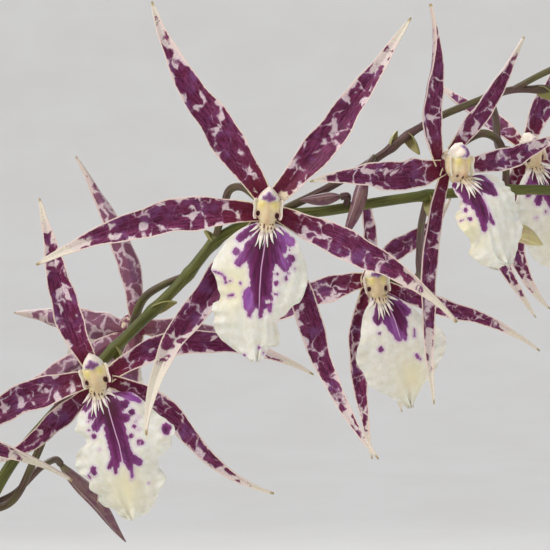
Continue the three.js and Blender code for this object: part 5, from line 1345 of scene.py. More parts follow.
def bulb_grid(bulb, n):
    """Rings of a ribbed pseudobulb, with its painted values."""
    u = np.linspace(0, 1, BULB_ROWS)[:, None]
    angle = full_turn(BULB_SIDES)[None, :]
    share = rounded(BULB_OUTLINE, u)
    fade = np.sin(math.pi * u) ** 0.5
    ribs = 0.018 * np.cos(9 * angle + n) + 0.012 * np.cos(17 * angle + 2 * n + 2 * u)
    wrinkle = 0.022 * bulb["age"] * np.cos(31 * angle + 3 * np.sin(5 * u + n))
    swell = 1 + (ribs + wrinkle) * fade - 0.02
    x = np.cos(angle) * bulb["breadth"] / 2 * share * swell
    y = np.sin(angle) * bulb["thick"] / 2 * share * swell
    upright = triple(x, y, RHIZOME_LEVEL + bulb["height"] * u)
    around = angle * (bulb["breadth"] + bulb["thick"]) / 4 + 60 * n
    paint = dict(pattern=triple(around, bulb["height"] * u, 0), place=triple(u, bulb["age"], 0 * angle))
    return upright @ turn_z(bulb["turn"]).T + (*bulb["foot"], 0), paint


def build_clump(material):
    """Pseudobulbs with fine ribs, on their creeping rhizome."""
    skin = Skin()
    for n, bulb in enumerate(BULBS):
        points, paint = bulb_grid(bulb, n)
        skin.add(points, *ring_faces(BULB_ROWS, BULB_SIDES), **paint)
    course = [(x, y, RHIZOME_LEVEL) for x, y in RHIZOME]

    def radius(u, reach, places):
        return RHIZOME_RADIUS * (0.97 + 0.05 * np.cos(reach * 1.1))

    tube(skin, course, radius, *RHIZOME_TUBE, place=(0.02, 1, 0))
    skin.build("pseudobulb_clump", material, ["pseudobulbs"], "pseudobulb")


def build_leaf(name, row, number, material):
    """Strap leaf: folded at its foot and opening to a shallow channel."""
    foot, turn, rise, arch, swerve, length, width = row

    def aim(u):
        up, way = math.radians(rise - bent(arch, u)), math.radians(turn + swerve * u)
        return np.array([math.cos(up) * math.cos(way), math.cos(up) * math.sin(way), math.sin(up)])

    def front(u):
        way = np.radians(turn + swerve * u)
        return triple(-np.cos(way), -np.sin(way), 1.2)

    course = trace(foot, length, COURSE_STEPS, aim)
    top, under, s, u, flat = blade(
        course, front, width, LEAF_OUTLINE, LEAF_THICK,
        channel=lambda u: 0.62 * (1 - u) ** 2 + 0.1,
        twist=lambda u: 0 * u,
        edge=lambda s, u: 0.07 * np.sin(9 * u + s * 1.3) * np.minimum(1, 4 * u),
        columns=LEAF_COLUMNS, power=1.35, groove=0.35,
    )
    skin = Skin()
    slab(skin, top, under, pattern=flat + (70 * number, 0, 0), place=both_sides(s, u))
    skin.build(name + "_blade", material, [name], "leaf")


def build_husk(name, row, seed, material):
    """Papery husk wrapped part of the way round a pseudobulb's foot, with a torn edge."""
    number, low, high, start, end = row
    bulb = BULBS[number]
    random = seeded(seed)
    losses = [next(random) * TEAR_DEPTH for _ in range(HUSK_TEARS)]
    t = np.linspace(0, 1, HUSK_COLUMNS)
    loss = rounded(list(zip(np.linspace(0, 1, HUSK_TEARS), losses)), t)
    jag = np.random.default_rng(seed).uniform(0, JAG_DEPTH, HUSK_COLUMNS)
    loss = np.clip(loss + jag, 0, DEEPEST_TEAR)
    i = np.linspace(0, 1, HUSK_ROWS)[:, None]
    z = low + (high * (1 - loss) - low) * i
    share = np.interp(z / bulb["height"], *np.array(BULB_OUTLINE).T)
    angle = np.radians(start + (end - start) * t)[None, :]
    crease = 0.35 * np.sin(26 * angle + 3 * i) * i + 0.25 * np.sin(9 * angle) * i
    thick = SHEATH_THICK * np.sqrt(np.clip(1 - (2 * t - 1) ** 12, 0, 1))[None, :]

    def layer(depth):
        flare = GAP + 0.75 + 2 * i + crease + SHEATH_THICK / 2 + depth
        x = np.cos(angle) * (bulb["breadth"] / 2 * share + flare)
        y = np.sin(angle) * (bulb["thick"] / 2 * share + flare)
        return triple(x, y, RHIZOME_LEVEL + z) @ turn_z(bulb["turn"]).T + (*bulb["foot"], 0)

    skin = Skin()
    slab(skin, layer(thick / 2), layer(-thick / 2), pattern=triple(angle * 16, z, 0))
    skin.build(name + "_sheath", material, [name], "husk")


def build_root(name, course, seed, material):
    """Slightly lumpy root that creeps over the bark and dives into it."""
    skin = Skin()

    def radius(u, reach, places):
        return ROOT_RADIUS * (0.96 + 0.05 * waves(places, 7, seed))

    tube(skin, course, radius, *ROOT_TUBE)
    skin.build(name + "_skin", material, [name], "root")


def bay_distance(row, bays, s, u):
    """How far each point of a tepal lies from its nearest pale bay, in millimetres."""
    reach = np.full(s.shape, NO_BAY)
    half = row["width"] * rounded(TEPAL_OUTLINE, u) / 2
    for along, across, wide, tall in bays:
        wide, tall = wide * BAY_SIZE, tall * BAY_SIZE
        down = (u - along) * row["length"] / tall
        out = (s - across) * half / wide
        reach = np.minimum(reach, (np.hypot(down, out) - 1) * min(wide, tall))
    return reach


def tepal_course(flower, row, steps):
    """Places and directions along the middle of a tepal, from inside the heart to its tip."""

    def aim(u):
        heading = math.radians(row["turn"] + bent(row["bends"], u))
        lift = math.radians(through(row["lift"], u))
        return np.array([
            math.cos(lift) * math.cos(heading), -math.sin(lift), math.cos(lift) * math.sin(heading),
        ])

    start = np.array([row["root"][0], HEART_DEPTH, row["root"][1]]) - TEPAL_INSET * aim(0)
    places, ways = trace(start, row["length"] + TEPAL_INSET, steps, aim)
    turn = turn_z(flower["yaw"])
    return places @ turn.T + flower["at"], ways @ turn.T


def add_heart(skin, flower):
    """The small knob in which the tepals meet and on which the column and stalk sit."""
    rings = np.array([
        [(HEART_RADIUS * share * math.cos(a), depth, HEART_RADIUS * share * math.sin(a))
         for a in full_turn(HEART_SIDES)]
        for depth, share in HEART_STATIONS
    ]) @ turn_z(flower["yaw"]).T + flower["at"]
    faces = ring_faces(len(HEART_STATIONS), HEART_SIDES)
    skin.add(rings, *faces, pattern=rings, place=(0, 0.02, 0), bays=(0.4, 0.9, 0), edge=(2.0, 0, 0))


def build_tepals(flower, number, material):
    """Long tapering tepals, channelled and waved, joined at the heart of the bloom."""
    random = seeded(TEPAL_SEED + number)
    face = turn_z(flower["yaw"]) @ np.array([0, -1.0, 0])
    near = flower["name"] in BAYS
    steps, columns = (NEAR_STEPS, NEAR_COLUMNS) if near else (COURSE_STEPS, TEPAL_COLUMNS)
    skin = Skin()
    for k, row in enumerate(flower["tepals"]):
        phase = next(random) * 6
        top, under, s, u, flat = blade(
            tepal_course(flower, row, steps), lambda u: np.tile(face, (len(u), 1)),
            row["width"], TEPAL_OUTLINE, TEPAL_THICK,
            channel=lambda u: 0.22 + 0.12 * np.sin(3 * u),
            twist=lambda u: through(row["twist"], u),
            edge=lambda s, u: 0.16 * np.sin(11 * u + phase + s) * np.minimum(1, 4 * u) * (1 - u),
            columns=columns, power=1.35, groove=0.2, lumps=(0.06, phase),
        )
        shift = 31 * (6 * number + k)
        marked = BAYS[flower["name"]][k] if near else []
        fewer_cracks = 0.35 + len(marked) / 40 if near else 0
        inward = row["width"] * rounded(TEPAL_OUTLINE, u) / 2 * (1 - np.abs(s))
        slab(
            skin, top, under,
            pattern=flat + (shift, shift, 0), place=both_sides(s, u), edge=triple(inward, 0, 0),
            bays=triple(bay_distance(row, marked, s, u), row["tip"], fewer_cracks),
        )
    add_heart(skin, flower)
    skin.build(flower["name"] + "_tepal_blades", material, [flower["name"] + "_tepals"], "tepal")


def bump_at(x, z, at_x, at_z, wide, tall):
    """A round hill of height 1 at a place of a surface."""
    return np.exp(-(((x - at_x) / wide) ** 2) - ((z - at_z) / tall) ** 2)


def lip_half(lip, s, v):
    """Half width of the lip on the side of s, at the share v of its length."""
    left, right = (rounded(lip[side], v * lip["length"]) for side in ("left", "right"))
    return np.where(s < 0, left, right)


def lip_front(lip, s, v, phase):
    """Points of the lip's front, in its own frame."""
    ruffle = LIP_RUFFLE * np.sin(17 * v + phase + s * 2) * s**2 * np.minimum(1, 5 * v)
    crimp = np.sin(41 * v + 3 * np.sin(9 * v + phase) + 2 * s) + 0.5 * np.sin(83 * v + phase)
    frill = 0.5 * crimp * np.abs(s) ** 4 * np.minimum(1, 4 * v)
    frill += 0.65 * np.sin(8 * s + 2 * np.sin(3 * s) + phase) * np.clip((v - 0.45) * 2, 0, 1) ** 1.6
    pleat = 0.2 * np.sin(21 * s + 3 * np.sin(3 * v + phase)) * np.clip(2 * v, 0, 1) * (0.3 + np.abs(s))
    bulge = LIP_BULGE * np.sin(math.pi * np.minimum(1, v * 1.1) ** 0.8)
    reflex = LIP_REFLEX * s**2 * np.minimum(1, 4 * v)
    keel = 0.35 * np.exp(-((s * 9) ** 2)) * np.clip(1 - v * 1.6, 0, 1)
    y = LIP_SETBACK - bulge + reflex + ruffle + frill + pleat + keel
    return triple(s * lip_half(lip, s, v), y, LIP_TOP - v * lip["length"])


def lip_place(flower, points):
    """Swings points of the lip's frame forward at the throat and puts them in their bloom."""
    throat = np.array([0, LIP_SETBACK, LIP_TOP])
    swung = (points - throat) @ turn_x(-flower["swing"]).T + throat
    return swung @ (turn_z(flower["yaw"]) @ turn_y(flower["lean"])).T + flower["at"]


def mark_field(lip, x, down):
    """Distance to the purple marks, negative inside, with their lightness, and the cream centre."""
    reach, tone, holes = np.full(x.shape, NO_MARK), np.zeros(x.shape), np.full(x.shape, NO_MARK)
    for x0, v0, x1, v1, r0, r1, light in lip["marks"]:
        way = np.array([x1 - x0, v1 - v0])
        long = max(way @ way, 1e-6)
        t = np.clip(((x - x0) * way[0] + (down - v0) * way[1]) / long, 0, 1)
        gap = np.hypot(x - x0 - t * way[0], down - v0 - t * way[1])
        if r0 < 0:
            holes = np.minimum(holes, gap + r0)
            continue
        gap = gap - (r0 + (r1 - r0) * t)
        closer = np.clip(0.5 + (reach - gap) / TONE_FLOW, 0, 1)
        tone = tone + (light - tone) * closer
        soft = np.clip(0.5 + 0.5 * (reach - gap) / MARK_FLOW, 0, 1)
        reach = reach + (gap - reach) * soft - MARK_FLOW * soft * (1 - soft)
    reach = np.maximum(reach, -holes)
    return triple(reach, tone, bump_at(x, down, *lip["cream"], *CREAM_SPREAD))


def crowded(start, count):
    """Shares from a start to 1 that lie closer together towards 1, and towards -1."""
    turn = np.linspace(start * math.pi / 2, math.pi / 2, count) * LIP_CROWDING
    return np.sin(turn) / math.sin(math.pi / 2 * LIP_CROWDING)


def build_lip(flower, phase, near, material):
    """Broad ruffled lip that hangs from the column's foot."""
    lip = LIPS[flower["lip"]]
    columns, rows = (LIP_COLUMNS, LIP_ROWS) if near else (FAR_LIP_COLUMNS, FAR_LIP_ROWS)
    s, v = np.meshgrid(crowded(-1, columns), crowded(0, rows))
    points = lip_front(lip, s, v, phase)
    down = np.gradient(points, axis=0)
    over = np.gradient(points, axis=1)
    normal = unit(np.cross(over, down))
    normal *= np.sign(normal[..., 1:2]) * -1
    body = LIP_THICK * np.sqrt(np.clip(1 - s**12, 0, 1))[..., None]
    middle = points - normal * LIP_THICK / 2
    front, back = middle + normal * body / 2, middle - normal * body / 2
    x, fall = points[..., 0], v * lip["length"]
    thread = lip["thread"]
    on_thread = np.clip((thread[-1][0] - fall) / 3, 0, 1)
    throat = bump_at(x, fall, thread[0][1], 4, 3.4, 4.2)
    turned = FAN_SPREAD * np.arctan2(x, fall + FAN_ROOT) + PATTERN_SHIFT * phase
    skin = Skin()
    slab(
        skin, *(lip_place(flower, sheet) for sheet in (front, back)),
        pattern=triple(x + PATTERN_SHIFT * phase, fall, 0), marks=mark_field(lip, x, fall),
        place=both_sides(x - rounded(thread, fall), on_thread),
        fan=triple(turned, np.hypot(x, fall + FAN_ROOT), throat),
    )
    skin.build(flower["name"] + "_lip_sheet", material, [flower["name"] + "_lip"], "lip")


# Column: height, half width and depth of its body
COLUMN_STATIONS = [
    (-6.2, 1.5, 2.0), (-5.4, 2.1, 2.9), (-4.5, 2.4, 3.6), (-3.8, 2.9, 3.9), (-2.9, 3.6, 4.1),
    (-1.2, 3.9, 4.2), (0.2, 3.9, 4.2), (1.4, 3.5, 4.1), (2.0, 3.0, 4.0),
]
# Hood over it, which overhangs the body and ends in a small point
HOOD_STATIONS = [
    (1.0, 2.9, 4.6), (1.3, 3.2, 5.0), (2.2, 3.1, 5.3), (3.2, 2.55, 5.2), (4.0, 1.95, 4.9),
    (4.6, 1.35, 4.4), (5.15, 0.7, 3.7), (5.65, 0.12, 3.2),
]
WING_TOP = 1.7
WING_FOOT = -4.2
WING_ROOT = 3.4
WING_REACH = 0.55
# Eyes, and the lobes of the cap's purple patch: across, up and radius. The upper bloom has its own.
EYES = [(-2.85, -2.6, 0.6), (2.65, -3.0, 0.68)]
CAP_LOBES = [
    (-1.5, 1.95, 0.4), (-0.6, 1.85, 0.6), (0.3, 1.4, 0.5), (0.9, 1.85, 0.6), (1.7, 1.85, 0.4),
    (0.1, 2.6, 0.6), (0.0, 3.3, 0.3),
]
UPPER_EYES = [(-1.5, -4.2, 0.24), (-0.2, -4.7, 0.3), (1.2, -4.4, 0.26)]
UPPER_CAP = [(-0.7, 1.6, 0.3), (0.3, 1.6, 0.5), (0.8, 2.4, 0.7), (0.5, 3.4, 0.6), (-0.3, 4.3, 0.5)]
# Callus at the lip's root: down the lip, half width and thickness, and its dark spots: across, down and
# half sizes
CALLUS_STATIONS = [
    (-1.0, 2.0, 1.4), (0, 2.35, 1.4), (1, 2.15, 1.15), (2, 1.8, 0.75), (2.8, 1.2, 0.4), (3.1, 0.4, 0.12),
]
CALLUS_SPOTS = [
    (-0.85, 1.0, 0.24, 0.8), (-2.0, 0.7, 0.24, 0.24), (1.7, 0.4, 0.24, 0.28), (1.25, 1.5, 0.24, 0.36),
    (0.3, 1.5, 0.16, 0.5), (-1.5, 0.0, 0.16, 0.16), (0.9, 0.4, 0.15, 0.15),
]
# Rays of the callus: start across and down, end across and down, and thickness
RAYS = [
    (-1.9, 0.5, -4.9, 3.0, 0.4), (-1.8, 1.4, -4.1, 4.4, 0.2), (-1.3, 1.8, -3.1, 7.4, 0.3),
    (-1.0, 1.9, -1.8, 7.8, 0.46), (-0.4, 2.0, -0.7, 6.9, 0.22), (0.2, 1.8, 0.5, 7.4, 0.34),
    (1.0, 1.8, 2.2, 6.0, 0.44), (1.6, 1.3, 3.2, 4.4, 0.2), (1.8, 0.5, 5.2, 3.3, 0.42),
]
# Grids of the column's parts, as rows and points in a row
BODY_GRID = (48, 56)
HOOD_GRID = (34, 48)
WING_GRID = (40, 17)
CALLUS_GRID = (40, 40)
FLAT_STEPS = 9
RAY_ROWS = 26
RAY_SIDES = 12
RAY_OUTLINE = [(0, 1.1), (0.3, 1.1), (0.6, 0.85), (0.85, 0.45), (1, 0.06)]
# Distance given where a column has no mark
UNMARKED = 5
# Where a bloom's column stands off its centre, across and up
COLUMN_SHIFT = {"bloom_front": (0.4, 0), "bloom_lower": (-0.9, 2.0)}


def half_round(stations, back, rows, count):
    """Rings with a flat back and a round front, through (z, half width, depth) stations."""
    z = np.linspace(stations[0][0], stations[-1][0], rows)
    half, depth = (station(stations, k, z)[:, None] for k in (1, 2))
    arc = np.linspace(0, math.pi, count)[None, :]
    x = np.cos(arc) * half
    y = back - np.sin(arc) ** 0.8 * (depth + back)
    flat = np.linspace(-1, 1, FLAT_STEPS)[None, 1:-1] * half
    x = np.hstack([x, flat])
    y = np.hstack([y, np.full(flat.shape, back)])
    return triple(x, y, z[:, None])


def column_body(back, eyes):
    """The waxy body: two bulges under the hood, a keel down its middle and pits at the eyes."""
    body = half_round(COLUMN_STATIONS, back, *BODY_GRID)
    x, z = body[..., 0], body[..., 2]
    fore = np.clip(-body[..., 1] / 3, 0, 1)
    push = 0.55 * bump_at(np.abs(x), z, 1.9, -0.1, 0.9, 1.4) + 0.5 * bump_at(x, z, 0, -3.0, 1.0, 2.6)
    push = push - 0.45 * bump_at(np.abs(x), z, 1.6, -3.6, 0.6, 1.6)
    for eye_x, eye_z, _ in eyes:
        push = push - 0.6 * bump_at(x, z, eye_x, eye_z, 0.5, 0.7)
    body[..., 1] -= push * fore
    return body


def column_hood(back):
    """The hood, with a lower edge of two arches and a point between them."""
    hood = half_round(HOOD_STATIONS, back, *HOOD_GRID)
    x, z = hood[..., 0], hood[..., 2]
    fore = np.clip(-hood[..., 1] / 3 - 0.4, 0, 1)
    low = np.exp(-(((z - 1.0) / 0.8) ** 2))
    hood[..., 1] += 0.25 * bump_at(x, z, 0, 4.6, 0.5, 1.0) * fore
    hood[..., 2] -= 0.42 * np.cos(2 * math.pi * x / 2.9) * low * fore
    return hood


def column_wing(side):
    """Front and back grids of a narrow curled wing on one side of the column."""
    t = np.linspace(0, 1, WING_GRID[0])[:, None]
    w = np.linspace(0, 1, WING_GRID[1])[None, :]
    z = WING_TOP + (WING_FOOT - WING_TOP) * t
    reach = 0.3 + (WING_REACH - 0.3) * (1 - np.abs(2 * t - 1) ** 3.2)
    x = WING_ROOT + w * (reach + 0.2) + 0.14 * np.sin(9 * t) * w - 0.5 * np.clip(t - 0.6, 0, 1)
    curl = 1.35 * w**2.2 + 0.22 * np.sin(7 * t + 1) * w**3
    y = -1.7 - curl - 0.8 * np.sin(math.pi * t) * (1 - w)
    thick = (0.32 + 0.36 * np.exp(-(((w - 0.88) / 0.13) ** 2))) * np.sqrt(1 - w**16)
    thick = thick * np.minimum(1, 8 * w + 0.02)
    slope = 3.0 * w**1.4
    out = unit(triple(side * slope, -1.0, 0 * z))
    middle = triple(side * x, y, z)
    front, rear = middle + out * thick[..., None] / 2, middle - out * thick[..., None] / 2
    return (front, rear) if side > 0 else (front[:, ::-1], rear[:, ::-1])


def oval_distance(x, y, ovals):
    """Distance to the nearest of some ovals, negative inside."""
    gaps = [(np.hypot((x - a) / w, (y - b) / h) - 1) * min(w, h) for a, b, w, h in ovals]
    return np.min(gaps, axis=0)


def column_paint(local, eyes, lobes, white, cap=False, body=False):
    """Marks and tints of the column's own parts."""
    x, z = local[..., 0], local[..., 2]
    near = np.sum([np.exp(-2.6 * (np.hypot(x - a, z - b) - r)) for a, b, r in lobes], axis=0)
    patch = np.where((local[..., 1] < -2.5) & cap, -np.log(near) / 2.6, UNMARKED)
    eye = oval_distance(x, z, [(a, b, r, r * 1.35) for a, b, r in eyes])
    yellow = bump_at(np.abs(x), z, 1.9, -0.1, 1.0, 1.3) * body
    beige = bump_at(x, 0 * z, 0, 0, 1.3, 1) * np.clip(1.2 - z, 0, 1) * body
    return dict(marks=triple(patch, eye, white), tints=triple(yellow, beige, 0), pattern=local)


def lip_surface(lip, x, fall, phase):
    """Points of the lip's front at places across and down, in its own frame."""
    v = np.maximum(fall, 0) / lip["length"]
    over = lip_front(lip, np.clip(x / lip_half(lip, x, v), -1, 1), v, phase)
    return triple(x, over[..., 1], LIP_TOP - fall)


def callus_pad(lip, phase, lift):
    """Rings of the ridged callus that runs from the column's foot on to the lip, and where each lies."""
    fall = np.linspace(CALLUS_STATIONS[0][0], CALLUS_STATIONS[-1][0], CALLUS_GRID[0])[:, None]
    half, thick = (station(CALLUS_STATIONS, k, fall) for k in (1, 2))
    arc = np.linspace(0, math.pi, CALLUS_GRID[1])[None, :]
    flat = np.linspace(-1, 1, FLAT_STEPS)[None, 1:-1] * half
    across = np.hstack([np.cos(arc) * half, flat])
    rise = np.hstack([np.sin(arc) ** 0.8 * thick, np.full(flat.shape, -0.3)])
    ridges = 0.16 * np.cos(across * 2 * math.pi / 1.05) * np.clip(fall, 0, 1) * (rise > 0.1)
    fall = np.broadcast_to(fall, across.shape)
    points = lip_surface(lip, across, fall - lift, phase)
    points[..., 1] -= rise + ridges
    return points, fall


def callus_ray(lip, phase, lift, row):
    """Rings of one tapering ray that lies on the lip, and the share of its length at each ring."""
    start_x, start_v, end_x, end_v, thick = row
    share = np.linspace(0, 1, RAY_ROWS)
    x = start_x + (end_x - start_x) * share + 0.14 * np.sin(7 * share + 3 * end_x) * share
    fall = start_v + (end_v - start_v) * share
    radius = thick * rounded(RAY_OUTLINE, share)
    middle = lip_surface(lip, x, fall - lift, phase)
    middle[:, 1] -= 0.3 * radius + 0.12 * (1 - share) ** 1.6
    way = unit(np.array([end_x - start_x, start_v - end_v]))
    cross = np.array([-way[1], 0, way[0]])
    angle = full_turn(RAY_SIDES)
    ring = np.outer(np.cos(angle), cross) + np.outer(np.sin(angle) * 0.85, (0, -1.0, 0))
    return middle[:, None] + ring[None] * radius[:, None, None], share


def build_column(flower, phase, material):
    """Waxy column: hood with a purple cap, curled wings, dark eyes and a rayed callus over the lip."""
    lip = LIPS[flower["lip"]]
    turn = turn_z(flower["yaw"]) @ turn_y(flower["tilt"])
    off, lift = COLUMN_SHIFT.get(flower["name"], (0, 0))
    centre = flower["at"] + turn_z(flower["yaw"]) @ np.array([off, 0, lift])
    back = HEART_FRONT - GAP
    spots = (UPPER_EYES, UPPER_CAP) if flower["name"] == "bloom_upper" else (EYES, CAP_LOBES)
    skin = Skin()

    def shell(local, **paint):
        placed = local @ turn.T + centre
        skin.add(placed, *ring_faces(*local.shape[:2]), **column_paint(local, *spots, **paint))

    shell(column_body(back, spots[0]), white=0.0, body=True)
    shell(column_hood(back), white=0.8, cap=True)
    for side in (-1, 1):
        sheets = column_wing(side)
        paints = [column_paint(sheet, *spots, white=0.85) for sheet in sheets]
        pairs = {key: (paints[0][key], paints[1][key]) for key in paints[0]}
        slab(skin, *(sheet @ turn.T + centre for sheet in sheets), **pairs)

    def on_lip(local, marks, tints):
        placed = lip_place(flower, local + np.array([off, 0, 0]))
        skin.add(placed, *ring_faces(*local.shape[:2]), marks=marks, tints=tints, pattern=local)

    pad, fall = callus_pad(lip, phase, lift)
    dark = oval_distance(pad[..., 0], fall, CALLUS_SPOTS)
    on_lip(pad, triple(UNMARKED, dark, 0.15), triple(np.clip(0.7 - 0.5 * fall, 0, 0.5), 0, 0))
    for row in RAYS:
        ray, share = callus_ray(lip, phase, lift, row)
        fade = np.repeat(share, RAY_SIDES)
        flush = 0.5 * np.clip(1 - 5 * np.abs(fade - 0.2), 0, 1)
        marks = triple(UNMARKED, UNMARKED, np.clip(0.3 + 2 * fade, 0, 1))
        on_lip(ray, marks, triple(0.15 * (1 - fade), 0, flush))
    skin.build(flower["name"] + "_column_body", material, [flower["name"] + "_column"], "column")


def bud_course(name):
    """A bud's stalk, with a last short length in line with the bud."""
    stalk, aim, _, _, _ = BUDS[name]
    tip = np.array(stalk[-1], float) + unit(aim) * BUD_NECK
    return [*stalk, tuple(tip)], tip


def build_bud(name, materials):
    """Long pointed bud of three folded tepals, with seams between them."""
    _, aim, length, width, kind = BUDS[name]
    way = unit(aim)
    tip = bud_course(name)[1] + way * GAP
    u = np.linspace(0, 1, BUD_ROWS)[:, None]
    angle = full_turn(BUD_SIDES)[None, :]
    seam = np.abs(np.sin(1.5 * angle))
    radius = width / 2 * rounded(BUD_OUTLINE, u) * (0.985 - 0.1 * (1 - seam) ** 3)
    across = unit(np.cross(way, (0.1, 1, 0)))
    other = np.cross(way, across)
    curve = 0.03 * length * np.sin(math.pi * u) ** 2
    points = tip + way * (length * u)[..., None] + across * (np.cos(angle) * radius + curve)[..., None]
    points = points + other * (np.sin(angle) * radius)[..., None]
    paint = dict(pattern=triple(angle * width / 2, length * u, 0), place=triple((1 - seam) ** 3, u, 0))
    skin = Skin()
    skin.add(points, *ring_faces(BUD_ROWS, BUD_SIDES), **paint)
    skin.build(name + "_skin", materials[kind], [name], kind)


def add_bract(skin, at, aim, length, width):
    """A small pointed bract that hugs the stem where something grows out of it."""
    way = unit(aim)
    front = (0, -0.4, 1) if abs(way[1]) > 0.6 else (0, -1, 0.2)

    def curl(u):
        return unit(way - np.array([0, 0, 0.5 * u * u]))

    course = trace(np.array(at) - BRACT_SUNK * way, length + BRACT_SUNK, BRACT_STEPS, curl)
    top, under, s, u, flat = blade(
        course, lambda u: np.tile(front, (len(u), 1)), width, BRACT_OUTLINE, BRACT_THICK,
        channel=lambda u: 0.4 + 0 * u, twist=lambda u: 60 + 0 * u, edge=lambda s, u: 0 * s * u,
        columns=BRACT_COLUMNS,
    )
    slab(skin, top, under, pattern=flat, place=triple(0.45, 0.8, 0 * s))


def build_spray(material):
    """Stem, branch, bloom stalks, bud stalks and bracts, grown as one."""
    skin = Skin()
    nodes = np.array([place for place, _, _, _ in BRACTS] + [course[0] for course in PEDICELS.values()])

    def swelling(places):
        gap = np.linalg.norm(places[:, None] - nodes[None], axis=2).min(axis=1)
        return NODE_SWELL * np.exp(-((gap / NODE_REACH) ** 2))

    def main_radius(u, reach, places):
        swell = (SPIKE_FOOT_RADIUS - STEM_RADIUS) * np.maximum(0, 1 - 1.6 * u)
        return STEM_RADIUS + swell - np.maximum(0, u - 0.75) + swelling(places)

    def branch_radius(u, reach, places):
        return BRANCH_RADIUS - 0.35 * u + swelling(places) * 0.8

    def stalk_radius(u, reach, places):
        return PEDICEL_RADIUS * 0.92 + (OVARY_RADIUS - PEDICEL_RADIUS * 0.92) * u**1.5

    def thin_radius(u, reach, places):
        return 0.95 + 0.2 * u

    tube(skin, bud_course("bud_end_tip")[0], main_radius, *MAIN_TUBE, place=(0.05, 0, 0))
    tube(skin, bud_course("bud_branch_tip")[0], branch_radius, *BRANCH_TUBE, place=(0.7, 0, 0))
    for flower in BLOOMS:
        turn = turn_z(flower["yaw"])
        ends = [turn @ np.array([0, HEART_BACK + GAP + d, 0]) + flower["at"] for d in (3, 0)]
        course = [*PEDICELS[flower["name"]], *map(tuple, ends)]
        tube(skin, course, stalk_radius, *STALK_TUBE, lobes=0.05, place=(0.6, 0, 0))
    for name in BUDS:
        if name not in ("bud_end_tip", "bud_branch_tip"):
            tube(skin, bud_course(name)[0], thin_radius, *BUD_STALK_TUBE, place=(0.65, 0, 0))
    for bract in BRACTS:
        add_bract(skin, *bract)
    skin.build("flower_spray", material, ["flower_stem"], "flower_stem")


def build_plant():
    """Every piece of the plant, from the pot up."""
    build_pot(clay_look())
    build_bark(bark_look())
    build_clump(bulb_look())
    roots = root_look()
    for i, (name, course) in enumerate(ROOTS.items()):
        build_root(name, course, ROOT_SEED + i, roots)
    green = leaf_look()
    for i, (name, row) in enumerate(LEAVES.items()):
        build_leaf(name, row, i, green)
    straw = husk_look()
    for i, (name, row) in enumerate(HUSKS.items()):
        build_husk(name, row, HUSK_SEED + i, straw)
    build_spray(stem_look())
    purple, white, wax = tepal_look(), lip_look(), column_look()
    for i, flower in enumerate(BLOOMS):
        build_tepals(flower, i, purple)
        build_lip(flower, LIP_PHASE * i, flower["lip"] != "side", white)
        build_column(flower, LIP_PHASE * i, wax)
    finishes = {
        "bud": bud_look("bud_finish", "92706c", "5e3a42", "6a3450", "b59c9c"),
        "pale_bud": bud_look("pale_bud_finish", "cfc48e", "b3ab68", "c3a486", "d8cfa2"),
    }
    for name in BUDS:
        build_bud(name, finishes)


def plain_look(name, code):
    """Matt pale finish with a barely uneven tone."""
    look = Look(name, Roughness=0.9)
    tone = look.noise(look.place(), 0.004, 2)
    return look.colour_it(look.blend(code, "efece7", tone, 0.3, 0.7, 0.5))


# Floor and backdrop: radius and height in metres
STAGE_LEVELS = [
    (0.3, 0), (1.2, 0), (2.6, 0), (3.6, 0), (4.6, 0.08), (5.6, 0.4), (6.6, 1.1), (7.4, 2.2), (7.8, 3.6),
]
STAGE_SIDES = 96
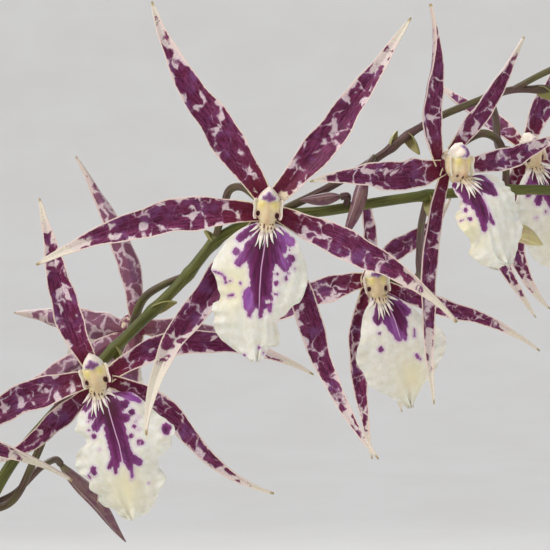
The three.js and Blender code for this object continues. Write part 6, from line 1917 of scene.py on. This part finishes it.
# Light: a pale sky all round, and each lamp's place in metres, size, power and tint
SKY_TINT = (0.93, 0.95, 1.0, 1.0)
SKY_STRENGTH = 0.7
LIGHT_TARGET = (0.12, 0, 0.42)
LAMPS = [
    ("key", (-1.5, -1.1, 2.2), 0.9, 36, (1.0, 0.97, 0.94)),
    ("fill", (2.0, -1.5, 0.9), 1.8, 4, (0.94, 0.97, 1.0)),
    ("rim", (-0.3, 2.2, 1.9), 1.4, 26, (1.0, 1.0, 1.0)),
]
# Camera of the photograph: level with the blooms, 0.6 m in front of the nearest one
CAMERA_PLACE = (0.200, -0.630, 0.500)
CAMERA_LENS = 135
CAMERA_SENSOR = 36


def build_stage():
    """Plain pale floor that rises far out into a soft round backdrop."""
    points = [
        (r * math.cos(a), r * math.sin(a), z) for r, z in STAGE_LEVELS for a in full_turn(STAGE_SIDES)
    ]
    quads, caps = ring_faces(len(STAGE_LEVELS), STAGE_SIDES)
    mesh = bpy.data.meshes.new("floor")
    mesh.from_pydata(points, [], [*quads.tolist(), [int(i) for i in caps[0]]])
    mesh.polygons.foreach_set("use_smooth", np.ones(len(mesh.polygons), bool))
    mesh.materials.append(plain_look("floor_finish", "f6f4f0"))
    link(bpy.data.objects.new("floor", mesh))


def build_light():
    """Soft studio light: a pale sky all round, a large key, a fill and a light from behind."""
    world = bpy.data.worlds.new("studio")
    world.use_nodes = True
    sky = world.node_tree.nodes["Background"]
    sky.inputs["Color"].default_value = SKY_TINT
    sky.inputs["Strength"].default_value = SKY_STRENGTH
    bpy.context.scene.world = world
    bpy.context.scene.view_settings.view_transform = "Standard"
    for name, at, size, power, tint in LAMPS:
        lamp = bpy.data.lights.new(name, "AREA")
        lamp.shape = "DISK"
        lamp.size = size
        lamp.energy = power
        lamp.color = tint
        holder = bpy.data.objects.new(name, lamp)
        holder.location = at
        way = Vector(np.array(LIGHT_TARGET) - np.array(at))
        holder.rotation_euler = way.to_track_quat("-Z", "Y").to_euler()
        link(holder)


def build_camera():
    """The photograph's camera."""
    lens = bpy.data.cameras.new("camera")
    lens.lens = CAMERA_LENS
    lens.sensor_width = CAMERA_SENSOR
    camera = link(bpy.data.objects.new("camera", lens))
    camera.location = CAMERA_PLACE
    camera.rotation_euler = (math.pi / 2, 0, 0)
    bpy.context.scene.camera = camera


build_camera()
build_plant()
build_stage()
build_light()

bpy.context.view_layer.update()
